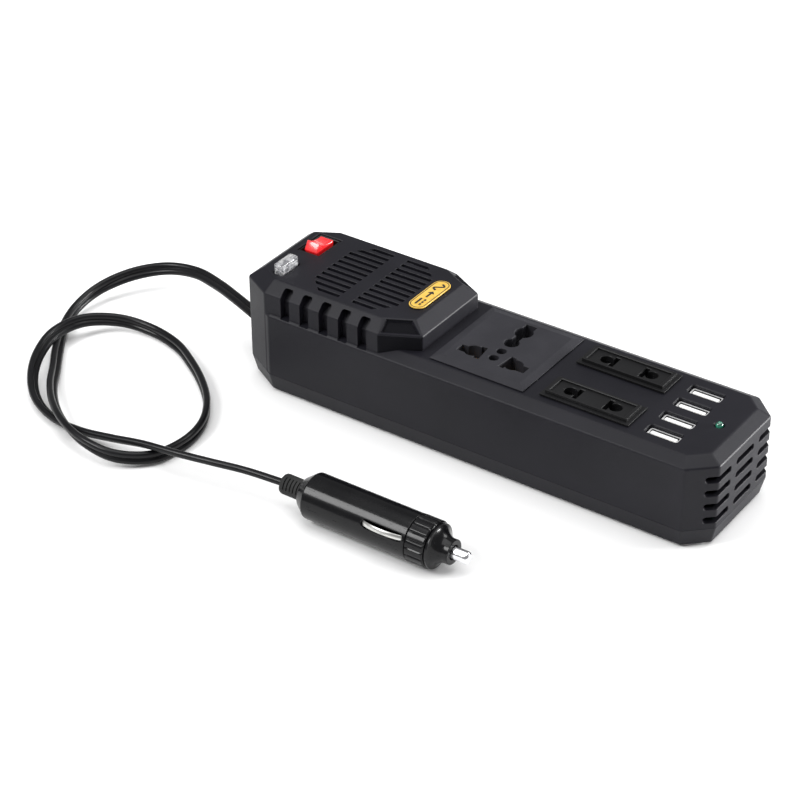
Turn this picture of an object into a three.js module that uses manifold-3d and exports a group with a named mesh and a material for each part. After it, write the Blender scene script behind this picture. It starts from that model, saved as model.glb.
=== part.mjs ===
// Power inverter: 12 V vehicle plug and lead in, mains and USB sockets out.
// Millimetres, +Z up. The origin is at the middle of the case, on the surface that it stands on.
// X runs along the case, with the lead at the -X end. The front of the case faces -Y.

import * as THREE from 'three';
import { mergeVertices } from 'three/addons/utils/BufferGeometryUtils.js';
import Module from 'manifold-3d';

const wasm = await Module();
wasm.setup();

// ---------------------------------------------------------------- driving dimensions

const GAP = 0.3;
const WALL = 2.2;

const CASE = { length: 225, width: 60.5, bottom: 1, partLine: 9.2, top: 41 };
const LEFT = -CASE.length / 2;
const RIGHT = CASE.length / 2;
const HALF = CASE.width / 2;
const LEAD_CORNER = { x: 16.1, y: 9 };
const VENT_CORNER = { x: 10.1, y: 9.4 };
const TOP_CHAMFER = { inset: 5.3, height: 3 };
const BOTTOM_CHAMFER = { inset: 1.9, height: CASE.partLine - CASE.bottom };

const HOOD = { end: -24.3, half: HALF - 1.2, top: 52.4, inner: 23.4 };
const HOOD_CORNER = { x: 16.3, y: 8.5 };
const HOOD_CHAMFER = { inset: 5.7, height: 4.65 };
const FIN_SLOT = { count: 5, pitch: 9.8, width: 3.5, middle: -67.7, bottom: 38.2, top: 51.1 };
const FIN_FLOOR = { depth: 3.1, drop: 0.8, flare: 1.2 };

const FAN = { x: -63.1, size: 40, thick: 10, top: 49.6, hole: 18.7, hub: 8 };
const GRILLE = { reach: 20.8, cut: 7.6, bar: 6.8, rows: 11, pitch: 3.92, slot: 2.1 };
const END_VENT = { rows: 4, lowest: 13.2, pitch: 6.3, height: 2.4, length: 14, inner: 11.3, wrap: 5.5 };

const SOCKET = { x: 3.2, length: 44.6, width: 47, proud: 1.5, bevel: 3.6, body: 38.4, depth: 11 };
const SOCKET_TOP = CASE.top + SOCKET.proud;
const CLIP_TOP = 36.5;

const OUTLET = { x: 52, y: 14, length: 40.4, width: 15, flange: 0.8, rim: 2.2, floor: 1.3, depth: 10 };
const USB = { x: 85.5, pitch: 11.2, count: 4, length: 14.5, width: 6, board: 28 };
const USB_SHELL = { length: 13.7, width: 5.4, sheet: 0.4, sunk: 2.1 };
const USB_TONGUE = { length: 11.4, front: -0.2, rear: 1.75, sunk: 2.8 };
const LED = { x: 100.5, radius: 1.5 };

const SWITCH = { x: -98.2, y: 9.9, length: 16, width: 10.8, depth: 13 };
const ROCKER = { width: 6.6, pivotY: 9.6, pivotZ: HOOD.top - 1.5, tilt: THREE.MathUtils.degToRad(16) };
const FUSE = { x: -98, y: -13.8, length: 11.4, width: 4.6, proud: 4, seat: 50.5 };
const BADGE = { x: -35.7, y: 1.4, length: 24.6, width: 7.8, thick: 0.5 };

const BOARD = { left: -80, right: 72, half: 24, bottom: 8, thick: 1.6 };
const POSTS = [[-88.2, -21.6], [-88.2, 21.6], [101, -18], [101, 18]];
const FEET = [[-95, -19], [-95, 19], [93, -19], [93, 19]];

const LEAD_EXIT = { y: -5, z: 17 };
const PLUG = { x: -27, y: -91.7, z: 10.3, radius: 9.75, length: 45.7, contactAngle: 25 };
const PLUG_BORE = 7.6;
const BOOT = { length: 15, radius: 4.6, ribs: 5, lowest: -13, pitch: 1.6, slit: 0.5, depth: 0.5 };
const RING = { inner: 7.2, outer: 9.9, length: 8.4, flutes: 18 };
const TIP = { end: 73, radius: 2.6, collar: 3.7, collarLength: 2.4 };
const LEAF = { x: 34.6, half: 9.2, end: 9.1, bow: 2.3, thick: 0.6, width: 2 };

// The lead's route from its sleeve to the plug: one loop laid on the surface, with three crossings.
const LEAD_ROUTE = [
  [-123, -5, 17], [-137.5, 0.5, 17], [-152.5, 6.5, 16], [-168.5, 10.5, 15], [-184, 8.5, 13],
  [-197, -0.5, 10], [-204.5, -14.5, 7], [-205, -30, 4.5], [-199.5, -45, 3.2], [-190.5, -59, 2.8],
  [-181, -71.5, 3.2], [-171, -84.5, 5], [-159.5, -96, 6.7], [-146.5, -105, 7.6], [-131.5, -110.5, 7],
  [-115.5, -110, 5.4], [-103.5, -100.5, 3.9], [-99.5, -85, 3.2], [-102, -69.5, 3.1],
  [-110.5, -55.5, 3.1], [-122, -44.5, 3.1], [-135.5, -35, 3.1], [-149.5, -27.5, 3.1],
  [-165.5, -24.5, 3.6], [-181, -28, 5.2], [-192, -39.5, 7.2], [-195, -55, 7.7], [-191, -70.5, 6.2],
  [-182.5, -84, 4.5], [-170.5, -94.5, 3.1], [-155.5, -100.5, 2.8], [-139.5, -102, 3.7],
  [-123.5, -101, 5.7], [-107.5, -99.5, 8], [-91, -98.5, 9.3], [-75, -96.3, 10.1],
  [-59.5, -93.4, 10.3], [-42.6, -91.7, 10.3],
];

// ---------------------------------------------------------------- materials

function plastic(color, roughness = 0.5) {
  return new THREE.MeshStandardMaterial({ color, roughness, metalness: 0 });
}

function metal(color, roughness = 0.3) {
  return new THREE.MeshStandardMaterial({ color, roughness, metalness: 1 });
}

const LOOK = {
  shell: plastic(0x2c2c2f, 0.55),
  matte: plastic(0x3a3a3e, 0.7),
  black: plastic(0x161618, 0.45),
  gloss: plastic(0x0c0c0d, 0.2),
  rubber: plastic(0x19191a, 0.8),
  lead: plastic(0x1c1c1e, 0.45),
  red: plastic(0xe0262c, 0.35),
  white: plastic(0xe8e8e6, 0.4),
  yellow: plastic(0xe0ad2e, 0.4),
  board: plastic(0x1f6b3a, 0.6),
  green: plastic(0x2f8f5b, 0.15),
  clear: new THREE.MeshStandardMaterial({ color: 0xf2f4f5, roughness: 0.1, transparent: true, opacity: 0.4 }),
  steel: metal(0xc9ccd0, 0.25),
  brass: metal(0xc8a045, 0.35),
  aluminium: metal(0xb4b7ba, 0.45),
  copper: metal(0xb06a3a, 0.4),
};

// ---------------------------------------------------------------- solids

// A closed geometry becomes a solid that can be joined and cut.
function solid(geometry) {
  const bare = geometry.clone();
  bare.deleteAttribute('normal');
  bare.deleteAttribute('uv');
  const merged = mergeVertices(bare, 1e-4);
  return new wasm.Manifold(new wasm.Mesh({
    numProp: 3,
    vertProperties: new Float32Array(merged.attributes.position.array),
    triVerts: new Uint32Array(merged.index.array),
  }));
}

function geometryOf(manifold) {
  const mesh = manifold.getMesh();
  const geometry = new THREE.BufferGeometry();
  geometry.setAttribute('position', new THREE.BufferAttribute(new Float32Array(mesh.vertProperties), 3));
  geometry.setIndex(new THREE.BufferAttribute(new Uint32Array(mesh.triVerts), 1));
  geometry.computeVertexNormals();
  return geometry;
}

function joined(solids) {
  return solids.reduce((all, next) => all.add(next));
}

function cutFrom(body, solids) {
  return body.subtract(joined(solids));
}

function shapeOf(points) {
  return new THREE.Shape(points.map(([x, y]) => new THREE.Vector2(x, y)));
}

function prismGeometry(shape, bottom, top, curveSegments = 8) {
  const settings = { depth: top - bottom, bevelEnabled: false, curveSegments };
  return new THREE.ExtrudeGeometry(shape, settings).translate(0, 0, bottom);
}

function prism(points, bottom, top) {
  return solid(prismGeometry(shapeOf(points), bottom, top));
}

function blockGeometry(low, high) {
  const size = high.map((value, axis) => value - low[axis]);
  const middle = high.map((value, axis) => (value + low[axis]) / 2);
  return new THREE.BoxGeometry(...size).translate(...middle);
}

function block(low, high) {
  return solid(blockGeometry(low, high));
}

function post(radius, x, y, bottom, top, sides = 12) {
  const geometry = new THREE.CylinderGeometry(radius, radius, top - bottom, sides);
  return solid(geometry.rotateX(Math.PI / 2).translate(x, y, (top + bottom) / 2));
}

// A profile of [radius, height] pairs is turned about Z.
function turned(profile, sides = 24) {
  const points = profile.map(([radius, height]) => new THREE.Vector2(radius, height));
  return new THREE.LatheGeometry(points, sides).rotateX(Math.PI / 2);
}

// The same, turned about X, with heights along +X.
function turnedAlongX(profile, sides = 24) {
  const points = profile.map(([radius, height]) => new THREE.Vector2(radius, height));
  return new THREE.LatheGeometry(points, sides).rotateZ(-Math.PI / 2);
}

function roundedBar(length, width, radius) {
  const shape = new THREE.Shape();
  const x = length / 2;
  const y = width / 2;
  shape.moveTo(-x + radius, -y);
  shape.absarc(x - radius, -y + radius, radius, -Math.PI / 2, 0);
  shape.absarc(x - radius, y - radius, radius, 0, Math.PI / 2);
  shape.absarc(-x + radius, y - radius, radius, Math.PI / 2, Math.PI);
  shape.absarc(-x + radius, -y + radius, radius, Math.PI, Math.PI * 1.5);
  return shape;
}

// A rounded slot across a wall: the wall's normal is X, and the slot lies along Y.
function slotThroughX(length, height, low, high, y, z) {
  const geometry = prismGeometry(roundedBar(length, height, height / 2 - 0.01), low, high, 2);
  geometry.rotateY(Math.PI / 2).rotateX(Math.PI / 2);
  return solid(geometry.translate(0, y, z));
}

// ---------------------------------------------------------------- case outlines

function inset(points, distance) {
  const count = points.length;
  const moved = [];
  for (let i = 0; i < count; i += 1) {
    const before = new THREE.Vector2(...points[(i + count - 1) % count]);
    const here = new THREE.Vector2(...points[i]);
    const after = new THREE.Vector2(...points[(i + 1) % count]);
    const first = here.clone().sub(before).normalize();
    const second = after.clone().sub(here).normalize();
    const normalOne = new THREE.Vector2(-first.y, first.x);
    const normalTwo = new THREE.Vector2(-second.y, second.x);
    const sum = normalOne.clone().add(normalTwo);
    sum.multiplyScalar(distance / (1 + normalOne.dot(normalTwo)));
    moved.push([here.x + sum.x, here.y + sum.y]);
  }
  return moved;
}

// Anticlockwise outline of a long box with its four upright corners cut off.
function cutCornerOutline(left, right, half, leftCut, rightCut) {
  return [
    [left + leftCut.x, -half], [right - rightCut.x, -half],
    [right, -half + rightCut.y], [right, half - rightCut.y],
    [right - rightCut.x, half], [left + leftCut.x, half],
    [left, half - leftCut.y], [left, -half + leftCut.y],
  ];
}

function rectangleOutline(x, y, length, width) {
  return [
    [x - length / 2, y - width / 2], [x + length / 2, y - width / 2],
    [x + length / 2, y + width / 2], [x - length / 2, y + width / 2],
  ];
}

const CASE_OUTLINE = cutCornerOutline(LEFT, RIGHT, HALF, LEAD_CORNER, VENT_CORNER);

// At the lead end the hood runs down to the parting line, and the low part of the shell lies
// a hair behind it, so that no two of their faces share a plane.
const HAIR = 0.15;
const leadCutBehind = { x: LEAD_CORNER.x + HAIR, y: LEAD_CORNER.y + HAIR };
const BASE_OUTLINE = cutCornerOutline(LEFT + HAIR, RIGHT, HALF, leadCutBehind, VENT_CORNER);

// The hood's corners at the lead end lie in the same planes as the case's corners.
const hoodCut = {
  x: LEAD_CORNER.x * (HOOD.half - HALF + LEAD_CORNER.y) / LEAD_CORNER.y,
  y: HOOD.half - HALF + LEAD_CORNER.y,
};
const HOOD_OUTLINE = cutCornerOutline(LEFT, HOOD.end, HOOD.half, hoodCut, HOOD_CORNER);

// A straight-sided block whose top edge is chamfered.
function chamferedBlock(outline, bottom, top, chamfer) {
  const geometry = new THREE.ExtrudeGeometry(shapeOf(outline), {
    depth: top - bottom - chamfer.height,
    bevelEnabled: true,
    bevelThickness: chamfer.height,
    bevelSize: chamfer.inset,
    bevelOffset: -chamfer.inset,
    bevelSegments: 1,
  });
  const whole = solid(geometry.translate(0, 0, bottom));
  return whole.subtract(block([-200, -60, bottom - 30], [200, 60, bottom]));
}

// ---------------------------------------------------------------- upper shell

function cavity() {
  const low = chamferedBlock(inset(CASE_OUTLINE, WALL), 0, CASE.top - WALL, TOP_CHAMFER);
  const hood = [
    [LEFT + 2.6, -15], [LEFT + 12, -HOOD.inner], [HOOD.end - 14, -HOOD.inner], [HOOD.end - WALL, -15],
    [HOOD.end - WALL, 15], [HOOD.end - 14, HOOD.inner], [LEFT + 12, HOOD.inner], [LEFT + 2.6, 15],
  ];
  return low.add(chamferedBlock(hood, 20, HOOD.top - WALL, { inset: 2, height: 2.6 }));
}

function grilleSlots() {
  const { reach, cut, bar, rows, pitch, slot } = GRILLE;
  const corners = { x: cut, y: cut };
  const octagon = cutCornerOutline(FAN.x - reach, FAN.x + reach, reach, corners, corners);
  const field = prism(octagon, CASE.top, HOOD.top + 5);
  const barSolid = block([FAN.x - bar / 2, -30, CASE.top], [FAN.x + bar / 2, 30, HOOD.top + 5]);
  const lines = [];
  for (let row = 0; row < rows; row += 1) {
    const y = (row - (rows - 1) / 2) * pitch;
    lines.push(block([FAN.x - 30, y - slot / 2, CASE.top], [FAN.x + 30, y + slot / 2, HOOD.top + 5]));
  }
  return field.intersect(joined(lines)).subtract(barSolid);
}

// The slots between the hood's fins. They follow its side and its sloping top edge at one depth,
// and each widens towards the lead end where it reaches the slope.
function finSlots(side) {
  const { count, pitch, width, middle, bottom, top } = FIN_SLOT;
  const { depth, drop, flare } = FIN_FLOOR;
  const slope = HOOD.top - HOOD_CHAMFER.height;
  const right = width / 2;
  const left = -right - flare;
  const slots = [];
  for (let i = 0; i < count; i += 1) {
    const x = middle + (i - (count - 1) / 2) * pitch;
    const shape = shapeOf([
      [x - right, bottom], [x + right, bottom], [x + right, top - 0.9], [x + right - 0.9, top],
      [x + left + 0.9, top], [x + left, top - 0.9], [x - right, slope],
    ]);
    const geometry = prismGeometry(shape, HOOD.inner - 3, HALF + 5).rotateX(Math.PI / 2);
    const slot = solid(geometry);
    slots.push(side < 0 ? slot : slot.mirror([0, 1, 0]));
  }
  const floor = chamferedBlock(inset(HOOD_OUTLINE, depth), 0, HOOD.top - drop, HOOD_CHAMFER);
  return joined(slots).subtract(floor);
}

// The shallow panel sunk into the sloping face above each of the hood's corners.
function cornerPanel(side) {
  const rim = HOOD.top - HOOD_CHAMFER.height;
  const low = [HOOD_OUTLINE[1], HOOD_OUTLINE[2]].map(([x, y]) => new THREE.Vector3(x, -side * y, rim));
  const upper = inset(HOOD_OUTLINE, HOOD_CHAMFER.inset);
  const high = [upper[1], upper[2]].map(([x, y]) => new THREE.Vector3(x, -side * y, HOOD.top));
  const along = low[1].clone().sub(low[0]).normalize();
  const middle = low[0].clone().add(low[1]).add(high[0]).add(high[1]).multiplyScalar(0.25);
  const up = high[0].clone().add(high[1]).sub(low[0]).sub(low[1]).normalize();
  const frame = new THREE.Matrix4().makeBasis(along, up, along.clone().cross(up)).setPosition(middle);
  const halfHigh = high[0].distanceTo(high[1]) / 2 - 1.6;
  const halfLow = low[0].distanceTo(low[1]) / 2 - 1.6;
  const shape = shapeOf([[-halfLow, -2.5], [halfLow, -2.5], [halfHigh, 2.7], [-halfHigh, 2.7]]);
  return solid(prismGeometry(shape, -0.8, 0.8).applyMatrix4(frame));
}

// Four rows of vents in the end wall; the outer ones wrap round the upright corners.
function endVents() {
  const { rows, lowest, pitch, height, length, inner, wrap } = END_VENT;
  const edge = HALF - VENT_CORNER.y;
  const turn = Math.atan2(VENT_CORNER.x, VENT_CORNER.y);
  const slots = [];
  for (let row = 0; row < rows; row += 1) {
    const z = lowest + row * pitch;
    slots.push(slotThroughX(length, height, RIGHT - 4, RIGHT + 2, 0, z));
    for (const side of [-1, 1]) {
      const straight = edge - inner + 2;
      slots.push(slotThroughX(straight, height, RIGHT - 4, RIGHT + 2, side * (inner + straight / 2), z));
      const sloped = slotThroughX(wrap + 3, height, -4, 3, side * (wrap / 2 - 1.5), 0);
      const angle = THREE.MathUtils.radToDeg(side * turn);
      slots.push(sloped.rotate([0, 0, angle]).translate([RIGHT, side * edge, z]));
    }
  }
  return joined(slots);
}

function topOpenings() {
  const openings = [
    block([SOCKET.x - 19.6, -19.6, 36], [SOCKET.x + 19.6, 19.6, 45]),
    post(LED.radius + 0.35, LED.x, 0, 36, 45),
    block([SWITCH.x - 5.7, SWITCH.y - 8.3, 48], [SWITCH.x + 5.7, SWITCH.y + 8.3, 55]),
    block([FUSE.x - 2.7, FUSE.y - 6.1, 48], [FUSE.x + 2.7, FUSE.y + 6.1, 55]),
    slotThroughX(9, 9, LEFT - 3, LEFT + 4, LEAD_EXIT.y, LEAD_EXIT.z),
  ];
  for (const side of [-1, 1]) {
    const y = side * OUTLET.y;
    openings.push(block([OUTLET.x - 18.2, y - 6, 36], [OUTLET.x + 18.2, y + 6, 45]));
  }
  for (let port = 0; port < USB.count; port += 1) {
    const mouth = prismGeometry(roundedBar(USB.length, USB.width, 1), 36, 45, 3);
    openings.push(solid(mouth.translate(USB.x, usbY(port), 0)));
  }
  return joined(openings);
}

function usbY(port) {
  return (port - (USB.count - 1) / 2) * USB.pitch;
}

function upperShell() {
  const split = CASE.partLine + GAP / 2;
  const base = chamferedBlock(BASE_OUTLINE, split, CASE.top, TOP_CHAMFER);
  const hood = chamferedBlock(HOOD_OUTLINE, split, HOOD.top, HOOD_CHAMFER);
  const bosses = POSTS.map(([x, y]) => post(3.2, x, y, 12, x < 0 ? HOOD.top - 1 : CASE.top - 1));
  const holes = POSTS.map(([x, y]) => post(1.65, x, y, 11, 28, 12));
  const walls = base.add(hood).subtract(cavity()).add(joined(bosses));
  return cutFrom(walls, [
    ...holes, topOpenings(), grilleSlots(), finSlots(-1), finSlots(1),
    cornerPanel(-1), cornerPanel(1), endVents(),
  ]);
}

// ---------------------------------------------------------------- bottom cover, screws and feet

function bottomCover() {
  const split = CASE.partLine - GAP / 2;
  const outer = chamferedBlock(CASE_OUTLINE, 0, 12, BOTTOM_CHAMFER);
  const flipped = outer.rotate([180, 0, 0]).translate([0, 0, 12 + CASE.bottom]);
  const trimmed = flipped.subtract(block([-200, -60, split], [200, 60, 40]));
  const hollow = prism(inset(CASE_OUTLINE, WALL + 2), CASE.bottom + WALL, 20);
  const lip = prism(inset(CASE_OUTLINE, WALL + GAP), split - 2, split + 1.8);
  const lipHollow = prism(inset(CASE_OUTLINE, WALL + 2), split - 3, split + 3);
  const pillars = POSTS.map(([x, y]) => post(3.2, x, y, CASE.bottom + 1, 11.7));
  const boardPillars = [[-72, -20], [-72, 20], [62, -20], [62, 20]].map(([x, y]) => (
    post(2.2, x, y, CASE.bottom + 1, BOARD.bottom - GAP)
  ));
  const walls = trimmed.subtract(hollow).add(lip.subtract(lipHollow));
  const whole = joined([walls, ...pillars, ...boardPillars]);
  const screwHoles = POSTS.flatMap(([x, y]) => [post(1.75, x, y, 0, 20, 12), post(3.1, x, y, 0, 4.4)]);
  const footSeats = FEET.map(([x, y]) => post(5.3, x, y, 0, CASE.bottom + 1.1, 16));
  return cutFrom(whole, [...screwHoles, ...footSeats]);
}

function coverScrew([x, y]) {
  const profile = [[0, 3.2], [1, 2.2], [2.6, 2.2], [2.8, 2.6], [2.8, 4.1], [1.35, 4.1], [1.35, 20], [0, 21]];
  return turned(profile, 12).translate(x, y, 0);
}

function rubberFoot([x, y]) {
  const profile = [[0, 0], [4.3, 0], [5, 0.6], [5, CASE.bottom + 0.8], [0, CASE.bottom + 0.8]];
  return turned(profile, 16).translate(x, y, 0);
}

// ---------------------------------------------------------------- universal socket

// The live and neutral openings mirror each other; each takes flat, round and slanted pins.
function pinOpening(side, low, high) {
  const x = SOCKET.x + side * 9.6;
  const slanted = block([-1.2, -4.5, low], [1.2, 4.5, high]).rotate([0, 0, -side * 7]);
  const near = SOCKET.x + side * 5.8;
  const far = SOCKET.x + side * 15.9;
  return joined([
    block([Math.min(near, far), -13.2, low], [Math.max(near, far), -8.6, high]),
    post(3.9, x, -10.2, low, high, 20),
    slanted.translate([SOCKET.x + side * 6.5, -10, 0]),
  ]);
}

function earthOpening(low, high) {
  const { x } = SOCKET;
  return joined([
    block([x - 2.5, 12.5, low], [x + 2.5, 18.9, high]),
    post(3.9, x, 12.6, low, high, 20),
    block([x - 1.6, 5, low], [x + 1.6, 10, high]),
    post(3.2, x, 3.2, low, high, 16),
  ]);
}

function universalSocket() {
  const { x, length, width, proud, bevel, body, depth } = SOCKET;
  const base = CASE.top + GAP;
  const plateOutline = rectangleOutline(x, 0, length, width);
  const plate = chamferedBlock(plateOutline, base, SOCKET_TOP, { inset: bevel, height: proud - 2 * GAP });
  const low = CASE.top - depth;
  const core = block([x - body / 2, -body / 2, low], [x + body / 2, body / 2, base + 0.5]);
  return cutFrom(plate.add(core), [
    pinOpening(-1, low - 1, 50), pinOpening(1, low - 1, 50), earthOpening(low - 1, 50),
    post(2.1, x, -4.4, low - 1, 50, 14), post(2.1, x, -10.2, low - 1, 50, 14),
    block([x - 17, -14.8, low - 1], [x - 4.2, -4.8, CLIP_TOP]),
    block([x + 4.2, -14.8, low - 1], [x + 17, -4.8, CLIP_TOP]),
    block([x - 4.6, -1, low - 1], [x + 4.6, 19, CLIP_TOP]),
  ]);
}

// A pressed clip: two leaves that stand up from a bridge and grip the pin between them.
function contactClip(x0, x1, y0, y1, bottom, top) {
  const sheet = 0.7;
  return joined([
    block([x0, y0, bottom], [x1, y1, bottom + sheet]),
    block([x0, y0, bottom], [x1, y0 + sheet, top]),
    block([x0, y1 - sheet, bottom], [x1, y1, top]),
  ]);
}

function socketClip(side) {
  const near = SOCKET.x + side * 4.8;
  const far = SOCKET.x + side * 16.4;
  return contactClip(Math.min(near, far), Math.max(near, far), -14.2, -5.4, 30.4, CLIP_TOP - GAP);
}

// ---------------------------------------------------------------- two-pin outlets

function outletBody(side) {
  const { x, length, width, flange, rim, floor, depth } = OUTLET;
  const y = side * OUTLET.y;
  const base = CASE.top + GAP;
  const step = (l, w, low, high) => block([x - l / 2, y - w / 2, low], [x + l / 2, y + w / 2, high]);
  const outer = joined([
    step(length, width, base, base + flange),
    step(length - 3.2, width - 3.2, base, base + rim),
    step(35.8, 11.4, CASE.top - depth, base + 0.4),
  ]);
  const holes = [step(length - 6.4, width - 5.8, base + floor, base + 5)];
  for (const end of [-1, 1]) {
    holes.push(post(2.7, x + end * 10.3, y, 20, 50, 18));
    holes.push(block([x + end * 6.9 - 1, y - 3.6, 20], [x + end * 6.9 + 1, y + 3.6, 50]));
    holes.push(block([x + end * 9.4 - 5, y - 4.6, 20], [x + end * 9.4 + 5, y + 4.6, CASE.top - 3]));
  }
  return cutFrom(outer, holes);
}

function outletClip(side, end) {
  const x = OUTLET.x + end * 9.4;
  const y = side * OUTLET.y;
  return contactClip(x - 4.6, x + 4.6, y - 4.2, y + 4.2, 31.4, CASE.top - 3.4);
}

// ---------------------------------------------------------------- USB ports and indicator

function usbShell(port) {
  const { length, width, sheet, sunk } = USB_SHELL;
  const shape = roundedBar(length, width, 0.9);
  const mouth = roundedBar(length - 2 * sheet, width - 2 * sheet, 0.9 - sheet);
  shape.holes.push(new THREE.Path(mouth.getPoints(2)));
  return prismGeometry(shape, USB.board + 1.9, CASE.top - sunk, 2).translate(USB.x, usbY(port), 0);
}

function usbTongue(port) {
  const { length, front, rear, sunk } = USB_TONGUE;
  const y = usbY(port);
  return blockGeometry(
    [USB.x - length / 2, y + front, USB.board + 1.9], [USB.x + length / 2, y + rear, CASE.top - sunk],
  );
}

function led() {
  const r = LED.radius;
  const dome = [[r, CASE.top], [r * 0.86, CASE.top + 0.7], [r * 0.5, CASE.top + 1.2], [0, CASE.top + 1.4]];
  return turned([[0, 34], [r, 34], ...dome], 16).translate(LED.x, 0, 0);
}

// ---------------------------------------------------------------- power electronics

function heatSink() {
  const fins = [];
  for (let fin = 0; fin < 7; fin += 1) {
    const x = -20 + fin * 6;
    fins.push(block([x, 8, BOARD.bottom + 2.4], [x + 1.6, 22, 27]));
  }
  return joined([block([-22, 5.5, BOARD.bottom + 2.4], [20, 8.2, 28]), ...fins]);
}

function transistor(index) {
  const x = -12 + index * 20;
  const floor = BOARD.bottom + BOARD.thick + GAP;
  return joined([
    block([x - 5, 1, floor + 3], [x + 5, 5.2, floor + 12]),
    block([x - 5, 4, floor + 10], [x + 5, 5.2, floor + 16]),
    block([x - 2.9, 2.2, floor], [x - 2.1, 3, floor + 4]),
    block([x - 0.4, 2.2, floor], [x + 0.4, 3, floor + 4]),
    block([x + 2.1, 2.2, floor], [x + 2.9, 3, floor + 4]),
  ]);
}

function transformerCore() {
  const outer = block([32, -16, 10.2], [58, 8, 28]);
  return cutFrom(outer, [block([36, -17, 14.2], [42.5, 9, 24]), block([47.5, -17, 14.2], [54, 9, 24])]);
}

// One coil round the middle limb of the core, with clearance on every side of it.
function transformerWinding() {
  const outer = block([36.4, -19, 14.6], [53.6, 11, 23.6]);
  const limb = block([42.2, -16.3, 10], [47.8, 8.3, 30]);
  return outer.subtract(limb);
}

function capacitor(index) {
  const floor = BOARD.bottom + BOARD.thick + GAP;
  const profile = [[0, 0], [6, 0], [6, 17.4], [5.4, 18], [0, 18]];
  return turned(profile, 16).translate(-38, -8 + index * 16, floor);
}

// ---------------------------------------------------------------- fan

function fanFrame() {
  const { x, size, thick, top, hole, hub } = FAN;
  const low = top - thick;
  const half = size / 2;
  const body = block([x - half, -half, low], [x + half, half, top]).subtract(post(hole, x, 0, 0, 60, 36));
  const struts = [0, 120, 240].map((angle) => (
    block([0, -1.1, low], [hole + 0.8, 1.1, low + 1.2]).rotate([0, 0, angle + 20]).translate([x, 0, 0])
  ));
  return joined([body, post(hub, x, 0, low, low + 1.2, 24), ...struts]);
}

function fanRotor() {
  const { x, thick, top, hole, hub } = FAN;
  const low = top - thick + 1.6;
  const blades = [];
  for (let blade = 0; blade < 7; blade += 1) {
    const plate = block([hub - 1, -0.5, -4], [hole - 0.7, 0.5, 4]);
    const pitched = plate.rotate([38, 0, 0]).translate([0, 0, low + 4]).rotate([0, 0, blade * 360 / 7]);
    blades.push(pitched.intersect(block([-30, -30, low + 0.2], [30, 30, top - 0.8])));
  }
  const hubSolid = post(hub, 0, 0, low, top - 0.7, 24);
  const rim = post(hole - 0.5, 0, 0, low, top, 36);
  return joined([hubSolid, joined(blades).intersect(rim)]).translate([x, 0, 0]);
}

// ---------------------------------------------------------------- switch, fuse and badge

function switchHousing() {
  const { x, y, length, width, depth } = SWITCH;
  const top = HOOD.top - 0.4;
  const outer = block([x - width / 2, y - length / 2, top - depth], [x + width / 2, y + length / 2, top]);
  const well = block([x - 4.6, y - 7.2, top - depth + 2], [x + 4.6, y + 7.2, 60]);
  return outer.subtract(well);
}

// The rocker's end view, Y across and Z up about its pivot, before it is tipped.
function rocker() {
  const profile = shapeOf([
    [-3.4, -3.4], [3.4, -3.4], [6.3, -0.6], [5, 3.7], [0, 2.5], [-5, 3.7], [-6.3, -0.6],
  ]);
  const geometry = prismGeometry(profile, -ROCKER.width / 2, ROCKER.width / 2);
  geometry.applyMatrix4(new THREE.Matrix4().makeBasis(
    new THREE.Vector3(0, 1, 0), new THREE.Vector3(0, 0, 1), new THREE.Vector3(1, 0, 0),
  ));
  geometry.rotateX(-ROCKER.tilt);
  return geometry.translate(SWITCH.x, ROCKER.pivotY, ROCKER.pivotZ);
}

function fuseHolder() {
  const { x, y, seat } = FUSE;
  const outer = block([x - 3.2, y - 6.3, seat - 16], [x + 3.2, y + 6.3, seat - 0.6]);
  const slots = [-3.6, 3.6].map((offset) => (
    block([x - 0.7, y + offset - 1.8, seat - 14.5], [x + 0.7, y + offset + 1.8, seat + 2])
  ));
  return cutFrom(outer, slots);
}

function fuseBody() {
  const { x, y, length, width, proud, seat } = FUSE;
  const outline = cutCornerOutline(
    x - width / 2, x + width / 2, length / 2, { x: 0.8, y: 0.8 }, { x: 0.8, y: 0.8 },
  );
  const body = chamferedBlock(outline, seat, HOOD.top + proud, { inset: 0.5, height: 0.5 });
  return body.subtract(block([x - 0.75, -5.3, seat - 1], [x + 0.75, 5.3, seat + 3.9])).translate([0, y, 0]);
}

function fuseElement() {
  const { x, y, seat } = FUSE;
  return joined([
    block([x - 0.35, y - 4.9, seat - 13.5], [x + 0.35, y - 2.3, seat + 3.5]),
    block([x - 0.35, y + 2.3, seat - 13.5], [x + 0.35, y + 4.9, seat + 3.5]),
    block([x - 0.35, y - 3, seat + 2.1], [x + 0.35, y + 3, seat + 3.1]),
  ]);
}

function badge() {
  const { x, y, length, width, thick } = BADGE;
  const geometry = prismGeometry(roundedBar(length, width, width / 2 - 0.01), 0, thick, 5);
  return geometry.rotateZ(Math.PI / 2).translate(x, y, HOOD.top + GAP);
}

// ---------------------------------------------------------------- lead and its sleeve

function leadSleeve() {
  const profile = [
    [0, -4.2], [5.8, -4.2], [5.8, -2.6], [4.1, -2.6], [4.1, 0.3], [5.4, 0.3], [5.4, 2.2],
    [4.6, 2.2], [4.6, 3.4], [5, 3.4], [5, 4.8], [4.3, 4.8], [4.3, 6], [4.6, 6], [4.6, 7.4],
    [4.1, 7.4], [3.8, 9.6], [0, 9.6],
  ];
  const geometry = turnedAlongX(profile, 16).rotateZ(Math.PI);
  return geometry.translate(LEFT, LEAD_EXIT.y, LEAD_EXIT.z);
}

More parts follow.
